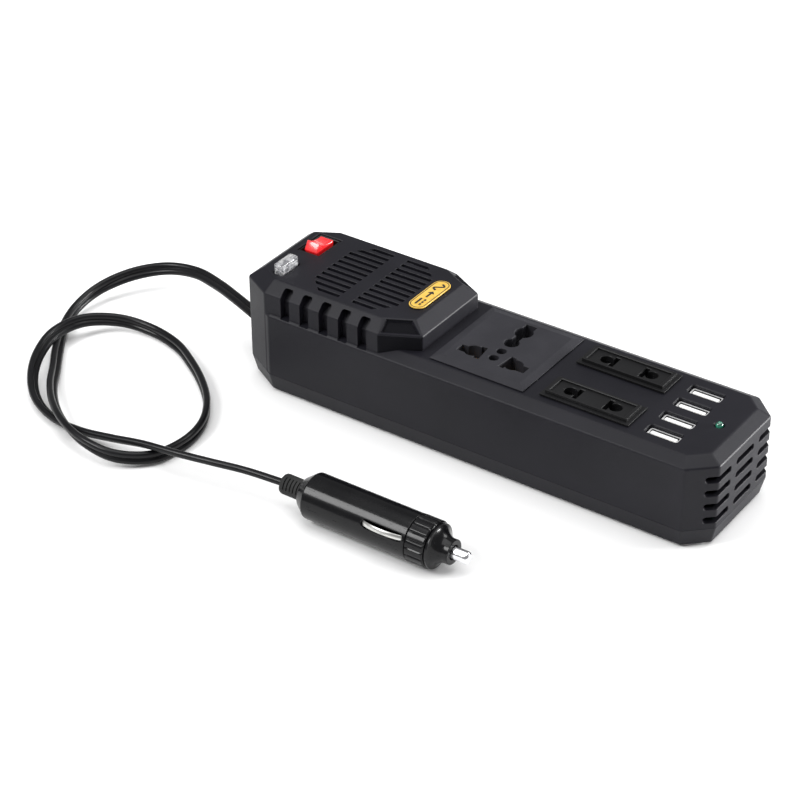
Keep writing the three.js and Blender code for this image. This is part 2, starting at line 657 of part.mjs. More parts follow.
function lead() {
  const curve = new THREE.CatmullRomCurve3(LEAD_ROUTE.map((point) => new THREE.Vector3(...point)));
  const section = new THREE.Shape();
  section.absellipse(0, 0, 2, 1.6, 0, Math.PI * 2);
  return new THREE.ExtrudeGeometry(section, { steps: 64, curveSegments: 4, extrudePath: curve });
}

// ---------------------------------------------------------------- vehicle plug, along +X

function plugBody() {
  const { radius, length, contactAngle } = PLUG;
  const shell = solid(turnedAlongX([
    [0, -4.5], [6.4, -4.5], [radius, 0], [radius, length], [PLUG_BORE, length], [PLUG_BORE, 3], [0, 3],
  ], 32));
  const slots = [0, 180].map((turn) => (
    block([25, -12, -1.7], [length - 1.4, -6, 1.7]).rotate([-contactAngle + turn, 0, 0])
  ));
  return cutFrom(shell, slots);
}

function plugBoot() {
  const { length, radius, ribs, lowest, pitch, slit, depth } = BOOT;
  const profile = [[0, -length], [radius - 0.8, -length], [radius, -length + 0.8]];
  for (let rib = 0; rib < ribs; rib += 1) {
    const at = lowest + rib * pitch;
    profile.push([radius, at], [radius - depth, at], [radius - depth, at + slit], [radius, at + slit]);
  }
  profile.push([radius, -5], [0, -5]);
  return turnedAlongX(profile, 16);
}

function plugRing() {
  const { inner, outer, length, flutes } = RING;
  const start = PLUG.length + GAP;
  const end = start + length;
  const ring = solid(turnedAlongX([
    [inner, start], [outer, start], [outer, end - 0.4], [outer - 0.7, end], [inner, end], [inner, start],
  ], 36));
  const grooves = [];
  for (let flute = 0; flute < flutes; flute += 1) {
    const groove = block([start + 1, -0.5, outer - 0.45], [end + 1, 0.5, outer + 2]);
    grooves.push(groove.rotate([flute * 360 / flutes, 0, 0]));
  }
  return cutFrom(ring, grooves);
}

function plugNose() {
  const face = PLUG.length + 9;
  const neck = PLUG.length - 2;
  const bore = TIP.radius + 0.4;
  const steps = 5;
  const concave = [];
  for (let step = 0; step <= steps; step += 1) {
    const angle = step / steps * Math.PI / 2;
    concave.push([9.3 - 4.1 * Math.sin(angle), face + 1 + 6.4 * (1 - Math.cos(angle)) ** 0.7]);
  }
  return turnedAlongX([
    [4.2, neck], [6.9, neck], [6.9, face], [9.3, face],
    ...concave, [5.2, face + 9.4], [bore, face + 9.4], [bore, face + 4], [4.2, face + 4], [4.2, neck],
  ], 24);
}

function plugTip() {
  const { end, radius, collar, collarLength } = TIP;
  const front = PLUG.length + 12.6;
  return turnedAlongX([
    [0, front - collarLength], [collar, front - collarLength], [collar, front], [radius, front],
    [radius, end - 1.7], [radius * 0.8, end - 0.6], [radius * 0.45, end], [0, end],
  ], 20);
}

function plugFuse() {
  const front = PLUG.length + 9.9;
  return turnedAlongX([
    [0, front - 30], [3.2, front - 30], [3.2, front - 24.5], [2.9, front - 24.5],
    [2.9, front - 5.5], [3.2, front - 5.5], [3.2, front], [0, front],
  ], 16);
}

function tipSpring() {
  const turns = 6;
  const start = 4;
  const end = PLUG.length - 21.2;
  const points = [];
  for (let i = 0; i <= turns * 8; i += 1) {
    const angle = i * Math.PI / 4;
    const x = start + (end - start) * i / (turns * 8);
    points.push(new THREE.Vector3(x, 2.6 * Math.cos(angle), 2.6 * Math.sin(angle)));
  }
  const section = new THREE.Shape();
  section.absarc(0, 0, 0.4, 0, Math.PI * 2);
  const curve = new THREE.CatmullRomCurve3(points);
  return new THREE.ExtrudeGeometry(section, { steps: turns * 8, curveSegments: 2, extrudePath: curve });
}

// A bowed leaf that stands out of the barrel's slot; its ends hook inside the barrel.
function sideContact(turn) {
  const { x, half, end, bow, thick, width } = LEAF;
  const outer = [];
  const inner = [];
  for (let step = 0; step <= 8; step += 1) {
    const t = step / 4 - 1;
    const height = end + bow * (1 - t * t);
    outer.push([half * t, height]);
    inner.unshift([half * t, height - thick]);
  }
  const geometry = prismGeometry(shapeOf([...outer, ...inner].reverse()), -width / 2, width / 2);
  const angle = THREE.MathUtils.degToRad(turn - PLUG.contactAngle);
  return geometry.translate(x, 0, 0).rotateX(Math.PI + angle);
}

// ---------------------------------------------------------------- assembly

const inverter = new THREE.Group();

function add(name, shape, material, parent = inverter) {
  const geometry = shape instanceof THREE.BufferGeometry ? shape : geometryOf(shape);
  const mesh = new THREE.Mesh(geometry, material);
  mesh.name = name;
  parent.add(mesh);
}

add('upper_shell', upperShell(), LOOK.shell);
add('bottom_cover', bottomCover(), LOOK.shell);
POSTS.forEach((place, index) => add(`cover_screw_${index + 1}`, coverScrew(place), LOOK.steel));
FEET.forEach((place, index) => add(`rubber_foot_${index + 1}`, rubberFoot(place), LOOK.rubber));

add('universal_socket', universalSocket(), LOOK.matte);
add('live_contact', socketClip(-1), LOOK.brass);
add('neutral_contact', socketClip(1), LOOK.brass);
add('earth_contact', contactClip(SOCKET.x - 4, SOCKET.x + 4, 0, 18.4, 30.4, CLIP_TOP - GAP), LOOK.brass);

for (const [name, side] of [['front', -1], ['rear', 1]]) {
  add(`${name}_outlet`, outletBody(side), LOOK.black);
  add(`${name}_outlet_contact_1`, outletClip(side, -1), LOOK.brass);
  add(`${name}_outlet_contact_2`, outletClip(side, 1), LOOK.brass);
}

for (let port = 0; port < USB.count; port += 1) {
  add(`usb_shell_${port + 1}`, usbShell(port), LOOK.steel);
  add(`usb_tongue_${port + 1}`, usbTongue(port), LOOK.white);
}
add('usb_board', blockGeometry([76, -24, USB.board], [95, 24, USB.board + 1.6]), LOOK.board);
add('status_led', led(), LOOK.green);

add('main_board', blockGeometry(
  [BOARD.left, -BOARD.half, BOARD.bottom], [BOARD.right, BOARD.half, BOARD.bottom + BOARD.thick],
), LOOK.board);
add('heat_sink', heatSink(), LOOK.aluminium);
add('transistor_1', transistor(0), LOOK.black);
add('transistor_2', transistor(1), LOOK.black);
add('transformer_core', transformerCore(), LOOK.matte);
add('transformer_winding', transformerWinding(), LOOK.copper);
add('capacitor_1', capacitor(0), LOOK.black);
add('capacitor_2', capacitor(1), LOOK.black);

add('fan_frame', fanFrame(), LOOK.black);
add('fan_rotor', fanRotor(), LOOK.black);

add('switch_housing', switchHousing(), LOOK.black);
add('rocker', rocker(), LOOK.red);
add('fuse_holder', fuseHolder(), LOOK.black);
add('blade_fuse_body', fuseBody(), LOOK.clear);
add('blade_fuse_element', fuseElement(), LOOK.steel);
add('badge', badge(), LOOK.yellow);

add('lead_sleeve', leadSleeve(), LOOK.rubber);
add('lead', lead(), LOOK.lead);

const plug = new THREE.Group();
plug.position.set(PLUG.x, PLUG.y, PLUG.z);
inverter.add(plug);
add('plug_boot', plugBoot(), LOOK.rubber, plug);
add('plug_body', plugBody(), LOOK.gloss, plug);
add('plug_ring', plugRing(), LOOK.gloss, plug);
add('plug_nose', plugNose(), LOOK.gloss, plug);
add('plug_tip', plugTip(), LOOK.steel, plug);
add('plug_fuse', plugFuse(), LOOK.steel, plug);
add('tip_spring', tipSpring(), LOOK.steel, plug);
add('side_contact_1', sideContact(0), LOOK.steel, plug);
add('side_contact_2', sideContact(180), LOOK.steel, plug);

inverter.updateMatrixWorld(true);

export default inverter;
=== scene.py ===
# Power inverter with its lead and vehicle plug. Shapes are made in millimetres, in the CAD frame,
# and scaled to metres as each piece is finished.

import math

import bmesh
import bpy
from mathutils import Matrix, Vector


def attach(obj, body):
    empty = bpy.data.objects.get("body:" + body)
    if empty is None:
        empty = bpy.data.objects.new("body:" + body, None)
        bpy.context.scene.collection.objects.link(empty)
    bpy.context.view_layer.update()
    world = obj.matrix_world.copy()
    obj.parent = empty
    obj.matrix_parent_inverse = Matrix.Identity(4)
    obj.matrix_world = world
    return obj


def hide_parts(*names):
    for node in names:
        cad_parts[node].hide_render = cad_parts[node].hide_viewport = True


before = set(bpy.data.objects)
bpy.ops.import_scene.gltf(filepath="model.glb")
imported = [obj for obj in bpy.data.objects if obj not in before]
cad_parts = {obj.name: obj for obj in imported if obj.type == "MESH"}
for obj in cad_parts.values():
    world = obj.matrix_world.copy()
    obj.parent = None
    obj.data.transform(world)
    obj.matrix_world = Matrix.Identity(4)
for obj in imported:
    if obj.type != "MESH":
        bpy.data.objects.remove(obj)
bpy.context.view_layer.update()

MM = 0.001
FULL_TURN = 2 * math.pi

# ---------------- dimensions

LENGTH = 225.0
HALF = 30.25
LEFT = -LENGTH / 2
RIGHT = LENGTH / 2
CASE_BOTTOM = 1.0
PART_LINE = 9.2
CASE_TOP = 41.0
WALL = 2.2
GAP = 0.3
HAIR = 0.15
SEAM = 0.12
LEAD_CORNER = (16.1, 9.0)
VENT_CORNER = (10.1, 9.4)
TOP_CHAMFER = (5.3, 3.0)
BOTTOM_INSET = 1.9

HOOD_END = -24.3
HOOD_HALF = HALF - 1.2
HOOD_TOP = 52.4
HOOD_INNER = 23.4
HOOD_CORNER = (16.3, 8.5)
HOOD_CHAMFER = (5.7, 4.65)
SLOPE_Z = HOOD_TOP - HOOD_CHAMFER[1]

FAN_X = -63.1
SOCKET_X = 3.2
SOCKET_TOP = 42.5
CLIP_TOP = 36.5
OUTLET_X = 52.0
OUTLET_Y = 14.0
USB_X = 85.5
USB_ROWS = [(port - 1.5) * 11.2 for port in range(4)]
USB_LIP = 39.5
USB_LOW = 29.9
LED_X = 100.5
SWITCH = (-98.2, 9.9)
ROCKER_PIVOT = (9.6, HOOD_TOP - 1.5)
ROCKER_TILT = math.radians(16)
FUSE = (-98.0, -13.8)
FUSE_SEAT = 50.5
BADGE = (-35.7, 1.4)
BOSS_RADIUS = 3.2
POSTS = [(-88.2, -21.6), (-88.2, 21.6), (101, -18), (101, 18)]
FEET = [(-95, -19), (-95, 19), (93, -19), (93, 19)]
LEAD_EXIT = (-5.0, 17.0)
PLUG_PLACE = Vector((-27.0, -91.7, 10.3))
PLUG_RADIUS = 9.75
PLUG_LENGTH = 48.7
CONTACT_ANGLE = math.radians(25)

# The lead's route, with the roll of its flat section in degrees at each point.
LEAD_ROUTE = [
    (-123, -5, 17, 0), (-137.5, 0.5, 17, 0), (-152.5, 6.5, 16, -8), (-168.5, 10.5, 15, -22),
    (-184, 8.5, 13, -42), (-197, -0.5, 10, -64), (-204.5, -14.5, 7, -84), (-205, -30, 4.5, -90),
    (-199.5, -45, 3.2, -76), (-190.5, -59, 2.8, -50), (-181, -71.5, 3.2, -52),
    (-171, -84.5, 5, -58), (-159.5, -96, 6.7, -60), (-146.5, -105, 7.6, -60),
    (-131.5, -110.5, 7, -74), (-115.5, -110, 5.4, -88), (-103.5, -100.5, 3.9, -90),
    (-99.5, -85, 3.2, -90), (-102, -69.5, 3.1, -86), (-110.5, -55.5, 3.1, -86),
    (-122, -44.5, 3.1, -86), (-135.5, -35, 3.1, -86), (-149.5, -27.5, 3.1, -86),
    (-165.5, -24.5, 3.6, -88), (-181, -28, 5.2, -84), (-192, -39.5, 7.2, -70),
    (-195, -55, 7.7, -60), (-191, -70.5, 6.2, -60), (-182.5, -84, 4.5, -58),
    (-170.5, -94.5, 3.1, -50), (-155.5, -100.5, 2.8, -45), (-139.5, -102, 3.7, -44),
    (-123.5, -101, 5.7, -42), (-107.5, -99.5, 8, -40), (-91, -98.5, 9.3, -39),
    (-75, -96.3, 10.1, -39), (-59.5, -93.4, 10.3, -39), (-42.6, -91.7, 10.3, -39),
]
CORE_RADIUS = 1.52
CORE_SPREAD = 1.48

# ---------------- materials


class Value:
    """A shader socket. Arithmetic on it adds Math nodes to its material."""

    def __init__(self, finish, socket):
        self.finish = finish
        self.socket = socket

    def maths(self, operation, first, second):
        inputs = {0: first, 1: second}
        return self.finish.node("Math", {"operation": operation}, inputs)

    def __add__(self, other):
        return self.maths("ADD", self, other)

    def __sub__(self, other):
        return self.maths("SUBTRACT", self, other)

    def __rsub__(self, other):
        return self.maths("SUBTRACT", other, self)

    def __mul__(self, other):
        return self.maths("MULTIPLY", self, other)

    def __gt__(self, other):
        return self.maths("GREATER_THAN", self, other)

    __radd__ = __add__
    __rmul__ = __mul__

    def band(self, low, high):
        """0 below low, 1 above high, and a smooth rise between them."""
        settings = {"interpolation_type": "SMOOTHSTEP"}
        return self.finish.node("MapRange", settings, {0: self, 1: low, 2: high, 3: 0.0, 4: 1.0})


class Finish:
    """A material under construction, on one Principled shader."""

    def __init__(self, name, **fixed):
        self.material = bpy.data.materials.new(name)
        self.material.use_nodes = True
        self.tree = self.material.node_tree
        self.shader = self.tree.nodes["Principled BSDF"]
        for key, value in fixed.items():
            self.shader.inputs[key.replace("_", " ")].default_value = value
        self.place = self.node("TexCoord", {}, {}, "Object")

    def node(self, kind, settings, inputs, output=0):
        """Any node: its settings first, then the values or links of its sockets."""
        node = self.tree.nodes.new("ShaderNode" + kind)
        for key, value in settings.items():
            if key == "stops":
                self.set_stops(node.color_ramp, value)
            else:
                setattr(node, key, value)
        for key, value in inputs.items():
            self.feed(node.inputs[key], value)
        return Value(self, node.outputs[output])

    @staticmethod
    def set_stops(ramp, stops):
        while len(ramp.elements) < len(stops):
            ramp.elements.new(0.5)
        for element, (position, colour) in zip(ramp.elements, stops):
            element.position = position
            element.color = (*colour, 1.0)

    def feed(self, socket, value):
        if isinstance(value, Value):
            self.tree.links.new(value.socket, socket)
        else:
            socket.default_value = value

    def noise(self, scale, detail=3.0, stretch=None):
        place = self.place if stretch is None else self.stretched(stretch)
        return self.node("TexNoise", {}, {"Vector": place, "Scale": scale, "Detail": detail})

    def cells(self, scale):
        return self.node("TexVoronoi", {}, {"Vector": self.place, "Scale": scale}, "Distance")

    def stretched(self, factors):
        return self.node("VectorMath", {"operation": "MULTIPLY"}, {0: self.place, 1: factors})

    def blend(self, factor, first, second):
        """A colour between two, each a colour or a value."""
        settings = {"data_type": "RGBA"}
        first = first if isinstance(first, Value) else (*first, 1.0)
        second = second if isinstance(second, Value) else (*second, 1.0)
        return self.node("Mix", settings, {0: factor, 6: first, 7: second}, 2)

    def paint(self, colour, roughness, height=None, depth=0.02, coat=None, glow=None):
        """Joins what varies over the surface to the shader. depth is in millimetres."""
        varied = {"Base Color": colour, "Roughness": roughness, "Coat Weight": coat,
                  "Emission Color": glow}
        for name, value in varied.items():
            if value is not None:
                self.feed(self.shader.inputs[name], value)
        if height is not None:
            inputs = {"Strength": 0.6, "Distance": depth * MM, "Height": height}
            self.feed(self.shader.inputs["Normal"], self.node("Bump", {}, inputs))
        return self.material


def moulded(name, dark, light, rough, grain, depth, specular=0.2):
    """Moulded plastic: a spark-eroded grain, faint flow marks and a few light scuffs."""
    made = Finish(name, Specular_IOR_Level=specular)
    flow = made.noise(38.0, 4.0)
    texture = made.noise(grain, 2.0)
    scuffs = made.noise(900.0, 6.0, (1.0, 0.12, 0.3)).band(0.62, 0.74) * flow.band(0.48, 0.66)
    colour = made.blend(flow.band(0.3, 0.7) * 0.7 + texture * 0.3, dark, light)
    return made.paint(
        colour=made.blend(scuffs * 0.25, colour, tuple(min(1.0, part * 2.2) for part in light)),
        roughness=rough + (texture - 0.5) * 0.12 + (flow - 0.5) * 0.1 + scuffs * 0.08,
        height=texture + scuffs * 0.15,
        depth=depth,
    )


def plated(name, tint, shade, rough, brushed, grain=2600.0):
    """Metal with fine drawn lines, slightly uneven brightness and dull spots."""
    made = Finish(name, Metallic=1.0)
    lines = made.noise(grain, 3.0, brushed)
    tarnish = made.noise(190.0, 5.0).band(0.52, 0.78)
    return made.paint(
        colour=made.blend(tarnish * 0.5 + lines * 0.2, tint, shade),
        roughness=rough + (lines - 0.5) * 0.16 + tarnish * 0.12,
        height=lines,
        depth=0.012,
    )


def glossy(name, dark, light, rough, coat):
    """Polished plastic: soft ripples from the mould, dust and hair-fine marks."""
    made = Finish(name, Coat_Roughness=0.08, Specular_IOR_Level=0.13)
    ripple = made.noise(70.0, 2.0)
    marks = made.noise(1600.0, 5.0, (0.15, 1.0, 1.0)).band(0.6, 0.72)
    dust = made.cells(420.0)
    return made.paint(
        colour=made.blend(ripple.band(0.35, 0.65) * 0.6 + marks * 0.2, dark, light),
        roughness=rough + marks * 0.1 + (1 - dust.band(0.0, 0.12)) * 0.12 + (ripple - 0.5) * 0.05,
        coat=coat - marks * 0.3,
        height=ripple * 0.8 + marks * 0.1,
        depth=0.03,
    )


def ribbed_rubber(name, dark, light):
    made = Finish(name, Specular_IOR_Level=0.3)
    bloom = made.noise(120.0, 5.0)
    pores = made.cells(1500.0)
    return made.paint(
        colour=made.blend(bloom.band(0.35, 0.75), dark, light),
        roughness=0.66 + bloom * 0.18,
        height=pores.band(0.0, 0.5) + bloom * 0.3,
        depth=0.04,
    )


def clear_plastic(name):
    """Clear moulded plastic with faint internal haze, and streaks that are marks in its surface and
    painted white highlights in its colour.
    """
    made = Finish(name, Transmission_Weight=0.62, IOR=1.5, Specular_IOR_Level=1.0)
    haze = made.noise(420.0, 4.0)
    highlight_streaks = made.noise(700.0, 3.0, (1.0, 0.25, 1.0)).band(0.52, 0.62)
    cloudy = made.blend(haze.band(0.4, 0.6), (0.30, 0.30, 0.32), (0.80, 0.80, 0.82))
    # The white in the streaks is a painted highlight; the streaks also roughen and raise the
    # surface.
    return made.paint(
        colour=made.blend(highlight_streaks, cloudy, (1.0, 1.0, 1.0)),
        roughness=0.04 + highlight_streaks * 0.1,
        height=haze + highlight_streaks * 0.6,
        depth=0.12,
    )


def red_lens(name):
    made = Finish(name, Coat_Roughness=0.1, Specular_IOR_Level=0.5, Emission_Strength=0.25)
    cloud = made.noise(260.0, 3.0)
    marks = made.noise(1500.0, 5.0, (1.0, 0.2, 1.0)).band(0.58, 0.72)
    return made.paint(
        colour=made.blend(cloud.band(0.3, 0.7), (0.62, 0.012, 0.016), (0.80, 0.03, 0.035)),
        glow=made.blend(cloud, (0.5, 0.0, 0.0), (0.8, 0.02, 0.02)),
        roughness=0.26 + marks * 0.14,
        coat=0.6 - marks * 0.3,
        height=cloud,
        depth=0.03,
    )


def green_lens(name):
    made = Finish(name, IOR=1.5, Emission_Strength=0.04, Specular_IOR_Level=0.8,
                  Coat_Roughness=0.05)
    cloud = made.noise(1100.0, 3.0)
    return made.paint(
        colour=made.blend(cloud.band(0.4, 0.62), (0.004, 0.05, 0.03), (0.05, 0.30, 0.20)),
        glow=made.blend(cloud, (0.0, 0.25, 0.12), (0.1, 0.6, 0.35)),
        roughness=0.1 + cloud * 0.1,
        coat=0.5 + cloud * 0.5,
        height=cloud,
        depth=0.12,
    )


def circuit_board(name):
    """Green solder mask over copper tracks, with small tinned pads."""
    made = Finish(name, Specular_IOR_Level=0.5)
    brick = made.node("TexBrick", {"offset": 0.37}, {
        "Vector": made.place, "Scale": 160.0, "Mortar Size": 0.06,
        "Brick Width": 1.3, "Row Height": 0.45,
    }, "Fac")
    pads = 1 - made.cells(260.0).band(0.12, 0.16)
    mask = made.blend(made.noise(300.0), (0.012, 0.075, 0.03), (0.02, 0.12, 0.05))
    tracks = made.blend(brick, mask, (0.05, 0.24, 0.09))
    return made.paint(colour=made.blend(pads, tracks, (0.6, 0.6, 0.58)),
                      roughness=0.35 + pads * 0.1, height=brick + pads, depth=0.05)


def wound_wire(name, axis):
    """Enamelled wire laid in close turns, with painted shade darkening the grooves between them."""
    made = Finish(name, Metallic=0.8)
    settings = {"wave_type": "BANDS", "bands_direction": axis}
    inputs = {"Vector": made.place, "Scale": 520.0, "Distortion": 0.4}
    turns = made.node("TexWave", settings, inputs, 1)
    # The colour darkens in the bump's grooves between turns: painted shade.
    return made.paint(colour=made.blend(turns, (0.16, 0.05, 0.02), (0.62, 0.27, 0.11)),
                      roughness=0.3 + (1 - turns) * 0.25, height=turns, depth=0.25)


def sleeve_film(name):
    """A capacitor's printed sleeve: dark film with one pale stripe down the side."""
    made = Finish(name, Specular_IOR_Level=0.5)
    crinkle = made.noise(240.0, 4.0)
    across = made.node("SeparateXYZ", {}, {"Vector": made.node("TexCoord", {}, {}, "Normal")}, "X")
    stripe = across > 0.93
    colour = made.blend(crinkle, (0.012, 0.014, 0.03), (0.02, 0.024, 0.05))
    return made.paint(colour=made.blend(stripe, colour, (0.55, 0.56, 0.58)),
                      roughness=0.28 + crinkle * 0.2, height=crinkle, depth=0.06)


def enamel(name, low, high):
    made = Finish(name, Specular_IOR_Level=0.5, Coat_Roughness=0.1)
    mottle = made.noise(520.0, 4.0)
    wear = made.noise(1900.0, 4.0).band(0.6, 0.75)
    return made.paint(colour=made.blend(mottle.band(0.3, 0.7), low, high),
                      roughness=0.3 + wear * 0.2, coat=0.5 - wear * 0.3,
                      height=mottle + wear * 0.4)


def studio_floor(name):
    made = Finish(name, Specular_IOR_Level=0.2)
    colour = made.blend(made.noise(3.0, 2.0), (0.93, 0.93, 0.93), (0.95, 0.95, 0.95))
    return made.paint(colour=colour, roughness=0.9)


SHELL = moulded("case_satin_black", (0.0066, 0.0064, 0.0095), (0.0100, 0.0097, 0.0138),
                0.46, 2400.0, 0.022)
SOCKET_FACE = moulded("socket_grained_black", (0.017, 0.0168, 0.021), (0.030, 0.0295, 0.035),
                      0.6, 1500.0, 0.06)
BLACK = moulded("insert_black", (0.006, 0.006, 0.0065), (0.010, 0.010, 0.011), 0.42, 2600.0, 0.015)
# A darker, duller copy of the case black: painted shade for the hood's corner walls and sunk
# panels.
PAINTED_SHADE_BLACK = moulded("panel_painted_shade_black", (0.005, 0.005, 0.0065), (0.008, 0.008, 0.010),
                      0.7, 2600.0, 0.012, 0.05)
FAN_BLACK = moulded("fan_black", (0.009, 0.009, 0.010), (0.014, 0.014, 0.015), 0.5, 2000.0, 0.02)
FERRITE = moulded("ferrite_grey", (0.03, 0.028, 0.026), (0.06, 0.057, 0.053), 0.7, 1300.0, 0.06)
WHITE = moulded("tongue_white", (0.88, 0.88, 0.87), (0.95, 0.95, 0.94), 0.4, 2200.0, 0.01, 0.5)
GLOSS = glossy("plug_gloss_black", (0.003, 0.003, 0.0038), (0.0055, 0.0055, 0.0062), 0.24, 0.24)
JACKET = glossy("lead_jacket_black", (0.005, 0.005, 0.006), (0.009, 0.009, 0.010), 0.34, 0.16)
RUBBER = ribbed_rubber("rubber_black", (0.012, 0.012, 0.012), (0.026, 0.026, 0.026))
STEEL = plated("nickel_plate", (0.82, 0.82, 0.84), (0.56, 0.56, 0.58), 0.2, (0.2, 1.0, 1.0))
PORT_STEEL = plated("port_nickel", (0.97, 0.97, 0.97), (0.84, 0.84, 0.85), 0.5, (1.0, 1.0, 0.2))
SCREW_STEEL = plated("screw_zinc", (0.62, 0.62, 0.60), (0.38, 0.38, 0.37), 0.32, (1.0, 1.0, 0.4))
BRASS = plated("contact_brass", (0.85, 0.62, 0.27), (0.50, 0.33, 0.12), 0.28, (1.0, 1.0, 0.2))
BLADE_ZINC = plated("blade_zinc", (0.72, 0.73, 0.74), (0.45, 0.46, 0.47), 0.3, (1.0, 0.3, 1.0))
ALUMINIUM = plated("extruded_aluminium", (0.62, 0.63, 0.65), (0.42, 0.43, 0.44), 0.38,
                   (1.0, 1.0, 0.05))
CLEAR = clear_plastic("fuse_clear")
RED = red_lens("rocker_red")
GREEN = green_lens("lamp_green")
BOARD = circuit_board("board_green")
COPPER = wound_wire("winding_copper", "Y")
FILM = sleeve_film("capacitor_film")
YELLOW = enamel("badge_yellow", (0.66, 0.40, 0.055), (0.76, 0.49, 0.09))
BADGE_INK = enamel("badge_ink", (0.012, 0.011, 0.010), (0.02, 0.018, 0.016))

# ---------------- mesh making


def at(outline, z):
    return [(x, y, z) for x, y in outline]


def polar(radius, angle, x=0.0, y=0.0):
    """The point at a radius and angle from (x, y)."""
    return x + radius * math.cos(angle), y + radius * math.sin(angle)


def stacked(rings):
    """Rings of points joined one to the next, with a face on each end."""
    bm = bmesh.new()
    made = [[bm.verts.new(point) for point in ring] for ring in rings]
    count = len(made[0])
    for low, high in zip(made, made[1:]):
        for i in range(count):
            j = (i + 1) % count
            bm.faces.new((low[i], low[j], high[j], high[i]))
    bm.faces.new(made[0])
    bm.faces.new(made[-1])
    bmesh.ops.recalc_face_normals(bm, faces=bm.faces)
    return bm


def prism(outline, low, high):
    return stacked([at(outline, low), at(outline, high)])


def stepped(x, y, sides, *steps):
    """A round column at (x, y), from (radius, height) steps."""
    return stacked([at(circle(x, y, radius, sides), height) for radius, height in steps])


def rod(x, y, radius, low, high, sides=32):
    return stepped(x, y, sides, (radius, low), (radius, high))


def soften(bm, width, segments=3, bend=20.0, where=None):
    """Rounds the edges that turn by more than bend degrees, or those of them that where() takes."""
    bend = math.radians(bend)
    edges = [e for e in bm.edges if len(e.link_faces) == 2 and e.calc_face_angle() > bend]
    if where is not None:
        edges = [e for e in edges if where((e.verts[0].co + e.verts[1].co) / 2)]
    bmesh.ops.bevel(bm, geom=edges, offset=width, segments=segments, profile=0.5, affect="EDGES",
                    clamp_overlap=True)
    return bm


def box(low, high, edge=0.0, segments=2):
    (x0, y0, z0), (x1, y1, z1) = low, high
    bm = prism(rectangle(x0, y0, x1, y1), z0, z1)
    return soften(bm, edge, segments) if edge else bm


def grown(outline, distance):
    """The outline moved outwards by distance, or inwards where it is negative."""
    moved = []
    count = len(outline)
    for i in range(count):
        before, here, after = (Vector(outline[j % count]) for j in (i - 1, i, i + 1))
        first = (here - before).normalized()
        second = (after - here).normalized()
        normals = [Vector((way.y, -way.x)) for way in (first, second)]
        total = normals[0] + normals[1]
        moved.append(tuple(here + total * (distance / (1 + normals[0].dot(normals[1])))))
    return moved


def cut_corners(left, right, half, left_cut, right_cut):
    """Anticlockwise outline of a long block with its four upright corners cut off."""
    return [
        (left + left_cut[0], -half), (right - right_cut[0], -half),
        (right, -half + right_cut[1]), (right, half - right_cut[1]),
        (right - right_cut[0], half), (left + left_cut[0], half),
        (left, half - left_cut[1]), (left, -half + left_cut[1]),
    ]


def round_bar(x, y, length, width, radius, steps=5):
    """Anticlockwise outline of a bar with rounded corners, its length along X."""
    cx, cy = length / 2 - radius, width / 2 - radius
    outline = []
    for quarter, (ex, ey) in enumerate(((cx, -cy), (cx, cy), (-cx, cy), (-cx, -cy)), -1):
        for step in range(steps + 1):
            angle = FULL_TURN / 4 * (quarter + step / steps)
            outline.append(polar(radius, angle, x + ex, y + ey))
    return outline


def circle(x, y, radius, sides=32):
    return [polar(radius, FULL_TURN * i / sides, x, y) for i in range(sides)]


def rectangle(x0, y0, x1, y1):
    return [(x0, y0), (x1, y0), (x1, y1), (x0, y1)]


def centred(x, y, length, width):
    return rectangle(x - length / 2, y - width / 2, x + length / 2, y + width / 2)


def pocket(outline, bottom, surface, flare=0.3):
    """A cutter for a hole from above, whose rim opens out by flare at the surface."""
    mouth = grown(outline, flare + 1)
    return stacked([at(outline, bottom), at(outline, surface - flare), at(mouth, surface + 1)])


def turned(profile, sides=48, ripple=None, hollow=False):
    """A solid turned about Z from (radius, height) pairs that start and end on Z, or that go
    round a closed section where it is hollow. ripple(radius, height, angle) may return an amount
    to take off the radius."""
    bm = bmesh.new()
    rings = []
    for radius, height in profile if hollow else profile[1:-1]:
        ring = []
        for i in range(sides):
            angle = FULL_TURN * i / sides
            r = radius - (ripple(radius, height, angle) if ripple else 0.0)
            ring.append(bm.verts.new((*polar(r, angle), height)))
        rings.append(ring)
    for low, high in zip(rings, rings[1:] + (rings[:1] if hollow else [])):
        for i in range(sides):
            j = (i + 1) % sides
            bm.faces.new((low[i], low[j], high[j], high[i]))
    if not hollow:
        for (_, height), ring in ((profile[0], rings[0]), (profile[-1], rings[-1])):
            end = bm.verts.new((0, 0, height))
            for i in range(sides):
                bm.faces.new((end, ring[i], ring[(i + 1) % sides]))
    bmesh.ops.recalc_face_normals(bm, faces=bm.faces)
    return bm


def smooth_profile(points, steps=3):
    """Cuts each inner corner of a profile with a short rounded run."""
    longest, shortest, share = 0.35, 0.02, 0.4
    rounded = [points[0]]
    for before, here, after in zip(points, points[1:], points[2:]):
        b, h, a = Vector(before), Vector(here), Vector(after)
        reach = min(longest, (b - h).length * share, (a - h).length * share)
        if reach < shortest:
            rounded.append(here)
            continue
        start = h + (b - h).normalized() * reach
        end = h + (a - h).normalized() * reach
        for step in range(steps + 1):
            t = step / steps
            rounded.append(tuple(start * (1 - t) ** 2 + h * 2 * t * (1 - t) + end * t * t))
    rounded.append(points[-1])
    return rounded


def moved(bm, *matrices):
    """Applies each matrix in turn, first to last."""
    for matrix in matrices:
        bmesh.ops.transform(bm, matrix=matrix, verts=bm.verts)
    bmesh.ops.recalc_face_normals(bm, faces=bm.faces)
    return bm


def shift(x, y, z):
    return Matrix.Translation((x, y, z))


def spin(angle, axis):
    return Matrix.Rotation(angle, 4, axis)


Z_TO_X = Matrix(((0, 0, 1, 0), (1, 0, 0, 0), (0, 1, 0, 0), (0, 0, 0, 1)))


def loose(bm, name="working"):
    mesh = bpy.data.meshes.new(name)
    bm.to_mesh(mesh)
    bm.free()
    item = bpy.data.objects.new(name, mesh)
    bpy.context.scene.collection.objects.link(item)
    return item


